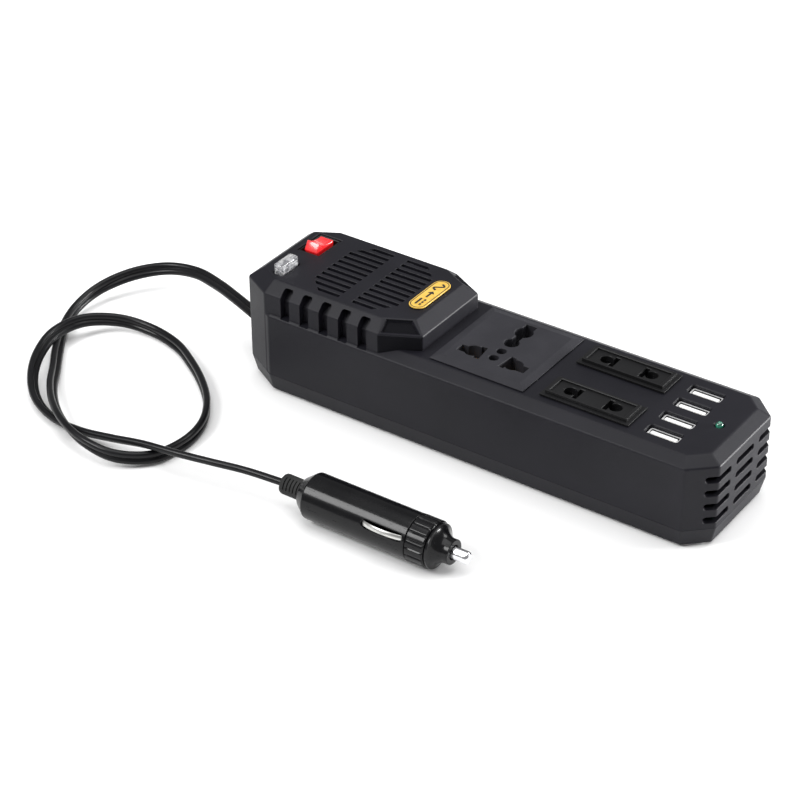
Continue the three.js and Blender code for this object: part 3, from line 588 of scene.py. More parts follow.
def combined(base, others, operation):
    """Joins or cuts a mesh by others, in one pass, and returns a new mesh."""
    body = loose(base)
    tools = [loose(other) for other in others]
    for tool in tools:
        step = body.modifiers.new("step", "BOOLEAN")
        step.operation = operation
        step.solver = "MANIFOLD"
        step.object = tool
    evaluated = body.evaluated_get(bpy.context.evaluated_depsgraph_get())
    bm = bmesh.new()
    bm.from_mesh(evaluated.to_mesh())
    evaluated.to_mesh_clear()
    for item in [body, *tools]:
        mesh = item.data
        bpy.data.objects.remove(item)
        bpy.data.meshes.remove(mesh)
    return bm


def cut(base, cutters):
    return combined(base, cutters, "DIFFERENCE")


def joined(base, *others):
    return combined(base, others, "UNION")


def piece(name, bm, finish, nodes=(), body="housing", weigh=False, crease=32.0):
    """Finishes a mesh as a piece of the object, standing for its CAD nodes."""
    bmesh.ops.transform(bm, matrix=Matrix.Scale(MM, 4), verts=bm.verts)
    item = loose(bm, name)
    mesh = item.data
    mesh.materials.append(finish)
    mesh.shade_smooth()
    mesh.set_sharp_from_angle(angle=math.radians(crease))
    if weigh:
        normals = item.modifiers.new("even_normals", "WEIGHTED_NORMAL")
        normals.keep_sharp = True
    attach(item, body)
    if nodes:
        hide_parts(*nodes)
    return item


# ---------------- camera

AZIMUTH = math.radians(34.966)
ELEVATION = math.radians(33.54)
ROLL = math.radians(-0.408)
CAMERA_PLACE = (0.4472, -0.7111, 0.5717)
FOCAL_LENGTH = 109.97

outward = Vector((math.sin(AZIMUTH), -math.cos(AZIMUTH), 0))
back = outward * math.cos(ELEVATION) + Vector((0, 0, math.sin(ELEVATION)))
level = Vector((0, 0, 1)).cross(back).normalized()
upright = back.cross(level)
across = level * math.cos(ROLL) + upright * math.sin(ROLL)
above = upright * math.cos(ROLL) - level * math.sin(ROLL)

lens = bpy.data.cameras.new("studio_camera")
lens.sensor_width = 36
lens.lens = FOCAL_LENGTH
lens.clip_end = 20
camera = bpy.data.objects.new("studio_camera", lens)
turn = Matrix((across, above, back)).transposed().to_4x4()
camera.matrix_world = shift(*CAMERA_PLACE) @ turn
bpy.context.scene.collection.objects.link(camera)
bpy.context.scene.camera = camera

# ---------------- lead


def lead_line(route, steps):
    """Points on one smooth curve through the route, with the roll carried along it."""
    first = [2 * a - b for a, b in zip(route[0], route[1])]
    last = [2 * a - b for a, b in zip(route[-1], route[-2])]
    knots = [Vector(p) for p in [first, *route, last]]
    line = []
    for p0, p1, p2, p3 in zip(knots, knots[1:], knots[2:], knots[3:]):
        for step in range(steps):
            t = step / steps
            line.append(0.5 * (2 * p1 + (p2 - p0) * t + (2 * p0 - 5 * p1 + 4 * p2 - p3) * t ** 2
                               + (3 * p1 - p0 - 3 * p2 + p3) * t ** 3))
    line.append(knots[-2])
    return line


def twin_section(steps=14):
    """The outline of two cores moulded side by side, as (across, up) pairs."""
    web = math.asin(0.42)
    outline = []
    for side, start in ((1, -math.pi + web), (-1, web)):
        for step in range(steps + 1):
            angle = start + (FULL_TURN - 2 * web) * step / steps
            outline.append(polar(CORE_RADIUS, angle, side * CORE_SPREAD))
    return outline


def lead_mesh():
    line = lead_line(LEAD_ROUTE, 10)
    section = twin_section()
    rings = []
    for i, point in enumerate(line):
        before = line[max(i - 1, 0)].to_3d()
        after = line[min(i + 1, len(line) - 1)].to_3d()
        along = (after - before).normalized()
        side = Vector((0, 0, 1)).cross(along).normalized()
        rise = along.cross(side)
        roll = math.radians(point[3])
        wide = side * math.cos(roll) + rise * math.sin(roll)
        thin = rise * math.cos(roll) - side * math.sin(roll)
        centre = point.to_3d()
        rings.append([centre + wide * a + thin * b for a, b in section])
    return stacked(rings), [point.to_3d() * MM for point in line]


def sleeve_mesh():
    """The case's lead sleeve: collar, tapered ribs, and a flange inside the wall."""
    profile = [(0, -4.2), (5.8, -4.2), (5.8, -2.6), (4.1, -2.6), (4.1, 0.3), (5.4, 0.3), (5.4, 2.2)]
    ribs, collar, pitch, depth = 3, 2.2, 2.4, 0.6
    for rib in range(ribs):
        height = collar + rib * pitch
        reach = 4.95 - rib * 0.25
        profile += [
            (reach - depth, height + 0.05), (reach - depth, height + 1.0), (reach, height + 1.05),
            (reach - 0.05, height + 2.35),
        ]
    profile += [(3.9, 9.42), (3.7, 9.6), (0, 9.6)]
    place = shift(LEFT, *LEAD_EXIT) @ spin(math.pi, "Z") @ Z_TO_X
    return moved(turned(smooth_profile(profile), 40), place)


lead_bm, lead_path = lead_mesh()
lead = piece("lead_cord", lead_bm, JACKET, ["lead"], crease=60)
sleeve = piece("case_lead_sleeve", sleeve_mesh(), RUBBER, ["lead_sleeve"])
lead_length = sum((b - a).length for a, b in zip(lead_path, lead_path[1:]))

# ---------------- case


def chamfered(outline, bottom, top, chamfer):
    inset, height = chamfer
    rim = grown(outline, -inset)
    return stacked([at(outline, bottom), at(outline, top - height), at(rim, top)])


CASE_OUTLINE = cut_corners(LEFT, RIGHT, HALF, LEAD_CORNER, VENT_CORNER)
BEHIND = tuple(part + HAIR for part in LEAD_CORNER)
BASE_OUTLINE = cut_corners(LEFT + HAIR, RIGHT, HALF, BEHIND, VENT_CORNER)
hood_cut_y = HOOD_HALF - HALF + LEAD_CORNER[1]
hood_cut = (LEAD_CORNER[0] * hood_cut_y / LEAD_CORNER[1], hood_cut_y)
HOOD_OUTLINE = cut_corners(LEFT, HOOD_END, HOOD_HALF, hood_cut, HOOD_CORNER)


def hollow():
    low = chamfered(grown(CASE_OUTLINE, -WALL), 0, CASE_TOP - WALL, TOP_CHAMFER)
    start, corner = LEFT + 2.6, HOOD_INNER - 15
    outline = cut_corners(start, HOOD_END - WALL, HOOD_INNER, (9.4, corner), (14 - WALL, corner))
    return joined(low, chamfered(outline, 20, HOOD_TOP - WALL, (4, 4)))


def grille_slots():
    """Rows of slots in two halves of an octagon, either side of a plain bar."""
    reach, corner, bar, rows, pitch, slot = 20.8, 7.6, 3.4, 11, 3.92, 1.9

    def edge(y):
        return reach - max(0.0, abs(y) - (reach - corner))

    slots = []
    for row in range(rows):
        low = (row - (rows - 1) / 2) * pitch - slot / 2
        high = low + slot
        left = [
            (FAN_X - edge(low), low), (FAN_X - bar, low),
            (FAN_X - bar, high), (FAN_X - edge(high), high),
        ]
        right = [(2 * FAN_X - x, y) for x, y in reversed(left)]
        slots += [pocket(outline, 45, HOOD_TOP, 0.15) for outline in (left, right)]
    return slots


def fin_slots():
    """The slots between the fins: one depth down the side and up the sloping edge."""
    count, middle, pitch, depth, drop = 5, -67.7, 9.8, 3.1, 2.2
    behind, ahead, bottom, arch = 2.65, 1.75, 38.2, 50.1
    floor = chamfered(grown(HOOD_OUTLINE, -depth), 0, HOOD_TOP - drop, HOOD_CHAMFER)
    slots = []
    for i in range(count):
        x = middle + (i - count // 2) * pitch
        outline = [(x - behind, bottom), (x + ahead, bottom)]
        for centre, start in ((x + 0.75, 0.0), (x - 1.95, 0.25)):
            for step in range(5):
                angle = FULL_TURN * (start + step / 16)
                outline.append(polar(1, angle, centre, arch))
        outline.append((x - behind, SLOPE_Z))
        ends = (-HOOD_HALF - 6, -HOOD_INNER + 3)
        slot = stacked([[(a, y, b) for a, b in outline] for y in ends])
        slots.append(cut(slot, [floor.copy()]))
    floor.free()
    mirrored = [moved(slot.copy(), Matrix.Scale(-1, 4, (0, 1, 0))) for slot in slots]
    return slots + mirrored


def corner_panels():
    """The shallow panels sunk into the sloping faces above the hood's corners."""
    border, below, over = 1.6, -2.5, 2.7
    steps = ((-0.3, -1.3), (0.0, -0.5), (0.6, 0.1), (0.6, 0.8))
    panels = []
    top_outline = grown(HOOD_OUTLINE, -HOOD_CHAMFER[0])
    for side in (1, -1):
        low = [Vector((x, side * y, SLOPE_Z)) for x, y in HOOD_OUTLINE[1:3]]
        high = [Vector((x, side * y, HOOD_TOP)) for x, y in top_outline[1:3]]
        along = (low[1] - low[0]).normalized()
        up = (high[0] + high[1] - low[0] - low[1]).normalized()
        middle = sum(low + high, Vector()) / 4
        half_low = (low[1] - low[0]).length / 2 - border
        half_high = (high[1] - high[0]).length / 2 - border
        outline = [(-half_low, below), (half_low, below), (half_high, over), (-half_high, over)]
        place = Matrix((along, up, along.cross(up))).transposed().to_4x4()
        place.translation = middle
        rings = [at(grown(outline, reach), side * height) for reach, height in steps]
        panels.append(moved(stacked(rings), place))
    return panels


def end_vents():
    """Four rows of vents in the end wall; the outer ones wrap round the upright corners."""
    rows, lowest, pitch, height, length, inner = 4, 13.2, 6.3, 2.8, 14, 11.3
    edge = HALF - VENT_CORNER[1]
    outer = edge - inner + 2
    turn_angle = math.atan2(*VENT_CORNER)

    def vent(middle, span, y, z, angle=0.0):
        shape = pocket(round_bar(middle, 0, span, height, height / 2 - 0.01), -5, 0, 0.2)
        return moved(shape, Z_TO_X, spin(angle, "Z"), shift(RIGHT, y, z))

    vents = []
    for row in range(rows):
        z = lowest + row * pitch
        vents.append(vent(0, length, 0, z))
        for side in (-1, 1):
            vents.append(vent(side * (inner + outer / 2), outer, 0, z))
            vents.append(vent(side * 1.25, 8.5, side * edge, z, side * turn_angle))
    return vents


def top_openings():
    low, high = CASE_TOP - 5, CASE_TOP + 4
    hood_low = HOOD_TOP - 4.4
    openings = [
        prism(centred(SOCKET_X, 0, 39.2, 39.2), low, high),
        pocket(circle(LED_X, 0, 1.95), low, CASE_TOP, 0.4),
        pocket(centred(*SWITCH, 11.4, 16.6), hood_low, HOOD_TOP),
        pocket(round_bar(*FUSE, 5.4, 12.2, 0.8, 3), hood_low, HOOD_TOP),
        moved(rod(0, 0, 4.5, -4, 3), Z_TO_X, shift(LEFT, *LEAD_EXIT)),
    ]
    for y in (-OUTLET_Y, OUTLET_Y):
        openings.append(prism(centred(OUTLET_X, y, 36.4, 12), low, high))
    openings += [pocket(round_bar(USB_X, y, 14.5, 6, 1), low, CASE_TOP, 0.35) for y in USB_ROWS]
    return openings


def upper_shell():
    split = PART_LINE + SEAM / 2

    def above_split(middle):
        return middle.z > split + 1

    base = soften(chamfered(BASE_OUTLINE, split, CASE_TOP, TOP_CHAMFER), 0.7, 3, 10, above_split)
    hood = soften(chamfered(HOOD_OUTLINE, split, HOOD_TOP, HOOD_CHAMFER), 0.55, 3, 10, above_split)
    bosses = [rod(x, y, BOSS_RADIUS, 12, 40, 20) for x, y in POSTS]
    holes = [rod(x, y, 1.65, 11, 28, 16) for x, y in POSTS]
    walls = joined(cut(joined(base, hood), [hollow()]), *bosses)
    slots = [*grille_slots(), *fin_slots(), *corner_panels(), *end_vents()]
    return cut(walls, [*holes, *top_openings(), *slots])


def bottom_cover():
    split = PART_LINE - SEAM / 2
    sole = grown(CASE_OUTLINE, -BOTTOM_INSET)
    outer = stacked([at(sole, CASE_BOTTOM), at(CASE_OUTLINE, split)])
    soften(outer, 0.6, 3, 20, lambda middle: middle.z < split - 1)
    inner = prism(grown(CASE_OUTLINE, -WALL - 2), CASE_BOTTOM + WALL, 20)
    lip = prism(grown(CASE_OUTLINE, -WALL - GAP), split - 2, split + 1.8)
    tray = cut(joined(outer, lip), [inner])
    pillars = [rod(x, y, BOSS_RADIUS, 2, 11.7, 20) for x, y in POSTS]
    cutters = []
    for x, y in POSTS:
        cutters.append(stepped(x, y, 24, (4.4, 0), (3.1, 1.3), (3.1, 4.4)))
        cutters.append(rod(x, y, 1.75, 0, 20, 16))
    cutters += [stepped(x, y, 32, (6.3, 0), (5.3, 1.25), (5.3, 2.1)) for x, y in FEET]
    return cut(joined(tray, *pillars), cutters)


def screw(x, y):
    """A self-tapping screw with a cross recess in its head."""
    shank, thread, head_top, half_pitch = 1.35, 0.25, 4.1, 0.5
    profile = [(0, 1.5), (1.9, 1.5), (2.55, 2.1), (2.75, 2.9), (2.75, head_top), (shank, head_top)]
    profile += [(shank - thread * (i % 2), 4.6 + i * half_pitch) for i in range(31)]
    profile += [(0, 21)]
    body = turned(profile, 24)
    mouth, floor = [rectangle(-reach, -0.28, reach, 0.28) for reach in (1.7, 0.7)]
    arms = [stacked([at(mouth, 1), at(floor, 3.3)])]
    arms.append(moved(arms[0].copy(), spin(math.pi / 2, "Z")))
    return moved(cut(body, arms), shift(x, y, 0))


def foot(x, y):
    radius, height = 5, 1.8
    profile = [(0, 0), (3.6, 0), (4.4, 0.12), (4.85, 0.45), (radius, height / 2), (radius, height),
               (0, height)]
    return moved(turned(profile, 48), shift(x, y, 0))


def paint_corner_shade(shell):
    """Paints shade on the hood's corner walls and sunk panels: faces turned their way get a darker,
    duller copy of the case black.
    """
    shell.data.materials.append(PAINTED_SHADE_BLACK)
    aligned, upright_limit, sunk_depth = 0.95, 0.15, 0.6
    wall_way = Vector((HOOD_CORNER[1], -HOOD_CORNER[0], 0)).normalized()
    slope = (wall_way * HOOD_CHAMFER[1] + Vector((0, 0, HOOD_CHAMFER[0]))).normalized()
    rim = Vector((*HOOD_OUTLINE[2], SLOPE_Z))
    for face in shell.data.polygons:
        centre = face.center / MM
        centre.y = -abs(centre.y)
        normal = Vector((face.normal.x, -abs(face.normal.y), face.normal.z))
        if not HOOD_END - 23 < centre.x < HOOD_END + 0.2 or centre.z < CASE_TOP - 3:
            continue
        sunk = (centre - rim).dot(slope) < -sunk_depth and centre.z > SLOPE_Z - 2
        wall = abs(normal.z) < upright_limit
        if (wall or sunk) and normal.dot(slope if sunk else wall_way) > aligned:
            face.material_index = 1


case_shell = piece("case_shell", upper_shell(), SHELL, ["upper_shell"], weigh=True)
paint_corner_shade(case_shell)
piece("case_base", bottom_cover(), SHELL, ["bottom_cover"], weigh=True)
for number, (place, foot_place) in enumerate(zip(POSTS, FEET), 1):
    piece(f"case_screw_{number}", screw(*place), SCREW_STEEL,
          [f"cover_screw_{number}"])
    piece(f"case_foot_{number}", foot(*foot_place), RUBBER, [f"rubber_foot_{number}"])

# ---------------- universal socket


PIN_ROW = -10.2
PIN_ROUND = 3.9
SOCKET_LOW = CASE_TOP - 11


def pin_hole(outline):
    return pocket(outline, SOCKET_LOW - 1, SOCKET_TOP, 0.25)


def pin_pockets(side):
    """One opening for flat, round and slanted pins."""
    near, far = sorted((SOCKET_X + side * 5.8, SOCKET_X + side * 15.9))
    slanted = pin_hole(centred(0, 0, 2.4, 9))
    return [
        pin_hole(rectangle(near, -13.2, far, -8.6)),
        pin_hole(circle(SOCKET_X + side * 9.6, PIN_ROW, PIN_ROUND)),
        moved(slanted, spin(math.radians(-side * 7), "Z"), shift(SOCKET_X + side * 6.5, -10, 0)),
    ]


def universal_socket():
    base = CASE_TOP + GAP
    x = SOCKET_X
    outline = centred(x, 0, 44.6, 47)
    plate = soften(chamfered(outline, base, SOCKET_TOP, (3.6, 0.9)), 0.18, 2, 8)
    core = prism(centred(x, 0, 38.4, 38.4), SOCKET_LOW, base + 0.5)
    earth_holes = [
        rectangle(x - 2.5, 12.5, x + 2.5, 18.9), circle(x, 12.6, PIN_ROUND),
        rectangle(x - 1.6, 5, x + 1.6, 10), circle(x, 3.2, 3.2),
    ]
    small_holes = [circle(x, y, 2.1, 24) for y in (-4.4, PIN_ROW)]
    clip_rooms = [(-17, -14.8, -4.2, -4.8), (4.2, -14.8, 17, -4.8), (-4.6, -1, 4.6, 19)]
    low = SOCKET_LOW - 1
    return cut(joined(plate, core), [
        *pin_pockets(-1), *pin_pockets(1), *map(pin_hole, earth_holes + small_holes),
        *[box((x + x0, y0, low), (x + x1, y1, CLIP_TOP)) for x0, y0, x1, y1 in clip_rooms],
    ])


piece("universal_socket_plate", universal_socket(), SOCKET_FACE,
      ["universal_socket"], weigh=True, crease=9)

# ---------------- two-pin outlets


def outlet(side):
    y = side * OUTLET_Y
    base = CASE_TOP + GAP

    floor, top = base + 1.3, base + 2.2

    low = CASE_TOP - 21

    def block(length, width, bottom, height):
        return prism(centred(OUTLET_X, y, length, width), bottom, height)

    flange = soften(block(40.4, 15, base, base + 0.8), 0.2, 2)
    rim = soften(block(37.2, 11.8, base, top), 0.25, 2)
    outer = joined(flange, rim, block(35.8, 11.4, CASE_TOP - 10, base + 0.4))
    holes = [pocket(centred(OUTLET_X, y, 34, 9.2), floor, top, 0.25)]
    for end in (-1, 1):
        holes += [
            pocket(circle(OUTLET_X + end * 10.3, y, 2.7, 28), low, floor, 0.2),
            pocket(centred(OUTLET_X + end * 6.9, y, 2, 7.2), low, floor, 0.2),
            prism(centred(OUTLET_X + end * 9.4, y, 10, 9.2), low, CASE_TOP - 3),
        ]
    return cut(outer, holes)


for name, side in (("front", -1), ("rear", 1)):
    piece(f"{name}_outlet_frame", outlet(side), BLACK, [f"{name}_outlet"],
          weigh=True)

# ---------------- USB ports and lamp


def usb_shell(y):
    """A folded metal shell whose mouth is rolled outwards a little, below the case's surface."""
    body = round_bar(USB_X, y, 13.5, 5.2, 0.8)
    lip = round_bar(USB_X, y, 13.7, 5.4, 0.9)
    bore = round_bar(USB_X, y, 12.3, 4.0, 0.4)
    outer = [(body, USB_LOW), (body, USB_LIP - 0.7), (lip, USB_LIP - 0.1), (body, USB_LIP)]
    inner = [(bore, USB_LOW - 1), (bore, USB_LIP - 0.3), (grown(bore, 0.1), USB_LIP + 0.1)]
    return cut(stacked(at(*ring) for ring in outer), [stacked(at(*ring) for ring in inner)])


def usb_tongue(y):
    return box((USB_X - 5.7, y - 0.7, USB_LOW), (USB_X + 5.7, y + 1.1, USB_LIP), 0.15)


def usb_shade_liner(y):
    """A black strip behind the tongue, against the shell's rear wall: painted shade for the gap
    between them.
    """
    low, high = USB_LOW + 0.1, USB_LIP - 0.05
    return box((USB_X - 6.0, y + 1.5, low), (USB_X + 6.0, y + 1.95, high), 0.08)


def usb_pins(y):
    low, high = USB_LOW + 0.1, USB_LIP - 1
    middles = [USB_X + offset for offset in (-3.5, -1.1, 1.1, 3.5)]
    return joined(*[box((x - 0.5, y - 0.9, low), (x + 0.5, y - 0.6, high), 0.08) for x in middles])


for number, y in enumerate(USB_ROWS, 1):
    piece(f"usb_mouth_{number}", usb_shell(y), PORT_STEEL,
          [f"usb_shell_{number}"], weigh=True)
    piece(f"usb_blade_{number}", usb_tongue(y), WHITE, [f"usb_tongue_{number}"])
    # A black strip that paints the shade behind each tongue.
    piece(f"usb_shade_liner_{number}", usb_shade_liner(y), BLACK)
    piece(f"usb_pins_{number}", usb_pins(y), BRASS)



def lamp_lens():
    """A round lens whose dome stands just above the case."""
    radius, rise, low = 1.5, 1.4, 34
    angles = [step * FULL_TURN / 40 for step in range(1, 10)]
    dome = [(radius * math.cos(a), CASE_TOP + rise * math.sin(a)) for a in angles]
    profile = [(0, low), (radius, low), (radius, CASE_TOP), *dome, (0, CASE_TOP + rise)]
    return moved(turned(profile, 32), shift(LED_X, 0, 0))


piece("lamp_lens", lamp_lens(), GREEN, ["status_led"])

# ---------------- fan


def fan_frame():
    low, top = 39.6, 49.6
    half, screw_reach, hub, thick = 20, 16, 8, 1.2
    frame_box = box((-half, -half, low), (half, half, top), 1.2, 3)
    bores = [rod(0, 0, 18.7, low - 1, top + 1, 72)]
    for x, y in rectangle(-screw_reach, -screw_reach, screw_reach, screw_reach):
        bores.append(rod(x, y, 1.6, low - 1, top + 1, 20))
    arm = box((0, -1.1, low), (19.5, 1.1, low + thick), 0.2)
    arms = [moved(arm.copy(), spin(math.radians(angle), "Z")) for angle in (20, 140, 260)]
    arm.free()
    seat_profile = [(0, low), (hub, low), (hub, low + thick), (0, low + thick)]
    seat = turned(smooth_profile(seat_profile), 48)
    return moved(joined(cut(frame_box, bores), seat, *arms), shift(FAN_X, 0, 0))


def fan_wheel():
    """A hub with seven swept blades, each thicker at its root."""
    low, top, middle = 41.2, 48.9, 45.1
    blade_count, root, reach, steps = 7, 7.2, 10.7, 6
    hub_profile = [(0, low), (8, low), (8, top), (7.2, top), (6.8, top - 0.3), (0, top - 0.3)]
    hub = turned(smooth_profile(hub_profile), 56)
    blades = []
    for blade in range(blade_count):
        rings = []
        for step in range(steps + 1):
            t = step / steps
            radius = root + t * reach
            sweep = 0.35 * t * t
            pitch = math.radians(46 - 16 * t)
            chord = 3.4 + 0.8 * t
            thick = 0.42 - 0.16 * t
            ring = []
            for u, w in ((-1, 0), (-0.5, -1), (0.3, -1), (1, 0), (0.3, 1), (-0.5, 1)):
                along, through = u * chord, w * thick
                height = along * math.sin(pitch) + through * math.cos(pitch)
                aside = along * math.cos(pitch) - through * math.sin(pitch)
                angle = sweep + (aside + 0.5 * (1 - u * u)) / radius
                lifted = min(max(middle + height, low + 0.2), top - 0.1)
                ring.append((*polar(radius, angle), lifted))
            rings.append(ring)
        blades.append(moved(stacked(rings), spin(FULL_TURN * blade / blade_count, "Z")))
    return moved(joined(hub, *blades), shift(FAN_X, 0, 0))


piece("fan_guard", fan_frame(), FAN_BLACK, ["fan_frame"], weigh=True)
piece("fan_wheel", fan_wheel(), FAN_BLACK, ["fan_rotor"], "fan_rotor")

# ---------------- switch, fuse and badge


def switch_bezel():
    length, width, wall = 10.8, 16, 0.8
    top = HOOD_TOP - 0.4
    outer = soften(prism(centred(*SWITCH, length, width), top - 13, top), 0.3, 3)
    mouth = centred(*SWITCH, length - 2 * wall, width - 2 * wall)
    return cut(outer, [pocket(mouth, top - 11, top, 0.3)])


def rocker():
    """The rocker's side view, dished on top, carried across its width."""
    dish = [(y, 2.7 + (y / 5) ** 2) for y in range(5, -6, -1)]
    side_view = [(-3.4, -3.4), (3.4, -3.4), (6.3, -0.6), *dish, (-6.3, -0.6)]
    rings = [[(x, y, z) for y, z in side_view] for x in (-3.3, 3.3)]
    body = soften(stacked(rings), 0.4, 3, 30)
    return moved(body, spin(-ROCKER_TILT, "X"), shift(SWITCH[0], *ROCKER_PIVOT))


def fuse_body():
    """The clear block that is gripped, hollow round the metal link."""
    outline = round_bar(*FUSE, 4.6, 11.4, 0.9, 4)
    body = soften(chamfered(outline, FUSE_SEAT, HOOD_TOP + 4, (0.3, 0.3)), 0.15, 2, 30)
    room = soften(prism(centred(*FUSE, 1.5, 10.6), FUSE_SEAT - 1, FUSE_SEAT + 3.9), 0.1, 2)
    return cut(body, [room])


def fuse_blades():
    """Two blades joined by a thin folded link."""
    x, y = FUSE
    blades = [
        box((x - 0.35, y + a, FUSE_SEAT - 13.5), (x + 0.35, y + b, FUSE_SEAT + 3.5), 0.12)
        for a, b in ((-4.9, -2.3), (2.3, 4.9))
    ]
    link = [(-3, 2.1), (-1, 2.1), (0, 2.7), (1, 2.1), (3, 2.1)]
    link += [(3, 2.6), (1.2, 2.6), (0, 3.2), (-1.2, 2.6), (-3, 2.6)]
    rings = [[(x + a, y + b, FUSE_SEAT + c) for b, c in link] for a in (-0.3, 0.3)]
    return joined(*blades, stacked(rings))


piece("switch_bezel", switch_bezel(), BLACK, ["switch_housing"], weigh=True)
piece("switch_rocker", rocker(), RED, ["rocker"], "rocker")
piece("fuse_block", fuse_body(), CLEAR, ["blade_fuse_body"], "blade_fuse")
piece("fuse_blades", fuse_blades(), BLADE_ZINC, ["blade_fuse_element"], "blade_fuse")

BADGE_PLACE = shift(BADGE[0], BADGE[1], HOOD_TOP + GAP) @ spin(math.pi / 2, "Z")
BADGE_FACE = 0.5


def stroke(points, width, low, high):
    """A line of even width through points, as a flat raised mark."""
    left, right = [], []
    for i, point in enumerate(points):
        before = Vector(points[max(i - 1, 0)])
        after = Vector(points[min(i + 1, len(points) - 1)])
        way = (after - before).normalized()
        aside = Vector((-way.y, way.x)) * width / 2
        left.append(tuple(Vector(point) + aside))
        right.append(tuple(Vector(point) - aside))
    return prism(right + left[::-1], low, high)


def lozenge(inset):
    """The badge's round-ended outline, moved inwards by inset."""
    return round_bar(0, 0, 24.6 - 2 * inset, 7.8 - 2 * inset, 3.89 - inset, 10)


def badge_marks():
    """Direct current on the left, an arrow, and an alternating wave on the right."""
    low, high = BADGE_FACE - 0.12, BADGE_FACE + 0.05
    wave = [(4 + 5.4 * i / 20, 1.7 * math.sin(FULL_TURN * i / 20)) for i in range(21)]
    head = [(0.7, -1.6), (2.6, 0), (0.7, 1.6)]
    marks = [stroke([(-9.4, 1.0), (-4.3, 1.0)], 0.95, low, high)]
    marks += [stroke([(x, -1.0), (x + 1.3, -1.0)], 0.95, low, high) for x in (-9.4, -7.5, -5.6)]
    marks += [
        stroke([(-2.7, 0), (1, 0)], 0.9, low, high),
        prism(head, low, high),
        stroke(wave, 0.95, low, high),
    ]
    border = cut(prism(lozenge(0.5), low, high), [prism(lozenge(0.85), low - 1, high + 1)])
    return joined(border, *marks)


badge_plate = moved(soften(prism(lozenge(0), 0, BADGE_FACE), 0.15, 2, 60), BADGE_PLACE)
piece("badge_plate", badge_plate, YELLOW, ["badge"], weigh=True)
piece("badge_marks", moved(badge_marks(), BADGE_PLACE), BADGE_INK)

# ---------------- vehicle plug

PLUG_AXIS = shift(*PLUG_PLACE) @ Z_TO_X
PLUG_BORE = 7.6
BOOT = {"radius": 4.3, "slits": 5, "lowest": -13, "pitch": 1.6}
LEAF = {"middle": 37.85, "half": 9.1, "edge": 9.1, "bow": 2.3}


def at_contact(bm, turn_angle):
    """Turns a shape made above the plug's axis to one side contact's place."""
    return moved(bm, spin(math.pi / 2 - CONTACT_ANGLE + turn_angle, "X"))


def plug_barrel():
    profile = [
        (0, -4.5), (6.4, -4.5), (PLUG_RADIUS, 0),
        (PLUG_RADIUS, PLUG_LENGTH - 0.25), (PLUG_RADIUS - 0.2, PLUG_LENGTH),
        (PLUG_BORE, PLUG_LENGTH), (PLUG_BORE, 3), (0, 3),
    ]
    shell = moved(turned(smooth_profile(profile), 96), Z_TO_X)
    slot = pocket(round_bar(LEAF["middle"], 0, 18.9, 3.4, 1.65, 6), 6, PLUG_RADIUS, 0.3)
    slots = [at_contact(slot.copy(), turn_angle) for turn_angle in (0, math.pi)]
    slot.free()
    return moved(cut(shell, slots), shift(*PLUG_PLACE))


def boot_slits(radius, height, angle):
    """Short slits across the boot, on two opposite sides of it."""
    along = (height - BOOT["lowest"]) / BOOT["pitch"]
    nearest = min(max(round(along), 0), BOOT["slits"] - 1)
    if not 0.005 < along - nearest < 0.345:
        return 0.0
    return 0.7 if abs(math.sin(angle - math.radians(51))) > 0.8 else 0.0


def plug_boot():
    """The soft boot behind the plug, with a blunt end and five slits that let it bend."""
    radius = BOOT["radius"]
    profile = [(0, -15), (3.6, -15), (4.0, -14.85), (4.25, -14.4), (radius, -13.6)]
    for slit in range(BOOT["slits"]):
        height = BOOT["lowest"] + slit * BOOT["pitch"]
        profile += [(radius, height + step) for step in (0, 0.02, 0.53, 0.56)]
    profile += [(radius, -5), (0, -5)]
    return moved(turned(profile, 72, boot_slits), PLUG_AXIS)


def flutes(radius, height, angle):
    """Grooves cut into the outside of the ring, ahead of its plain rear edge."""
    count, depth, half_width = 18, 0.42, 0.14
    if radius < 9.6 or height < PLUG_LENGTH + 0.9:
        return 0.0
    phase = (angle / FULL_TURN * count) % 1.0
    return depth * max(0.0, 1 - abs(phase - 0.5) / half_width) ** 0.7


def plug_ring():
    start, inner, outer = PLUG_LENGTH + GAP, 7.2, 9.9
    heights = [start + 0.2 + 7.6 * step / 8 for step in range(9)]
    profile = [(inner, start), (9.7, start), *[(outer, height) for height in heights],
               (9.55, start + 8.2), (9.2, start + 8.4), (inner, start + 8.4)]
    return moved(turned(profile, 288, flutes, hollow=True), PLUG_AXIS)


def plug_nose():
    face = PLUG_LENGTH + 9
    neck = PLUG_LENGTH - 2
    front = face + 7.9
    outer, mouth, bore, room, curve, steps = 9.3, 5.2, 3.0, 4.2, 4.9, 12
    profile = [(room, neck), (6.9, neck), (6.9, face), (outer - 0.15, face), (outer, face + 0.2)]
    for step in range(steps + 1):
        angle = step / steps * math.pi / 2
        radius = outer - (outer - mouth) * math.sin(angle)
        profile.append((radius, face + 1 + curve * (1 - math.cos(angle)) ** 0.7))
    profile += [(mouth, front - 0.2), (mouth - 0.2, front), (bore + 0.2, front),
                (bore, front - 0.2), (bore, face + 4), (room, face + 4)]
    return moved(turned(profile, 96, hollow=True), PLUG_AXIS)


def plug_tip():
    collar = PLUG_LENGTH + 12.6
    radius, rounding, end = 2.6, 1.7, 73
    low, shoulder = collar - 2.4, end - rounding
    profile = [(0, low), (3.7, low), (3.7, collar), (radius, collar), (radius, shoulder)]
    for step in range(1, 9):
        profile.append(polar(rounding, step * FULL_TURN / 32, radius - rounding, shoulder))
    return moved(turned([*profile, (0, end)], 40), PLUG_AXIS)


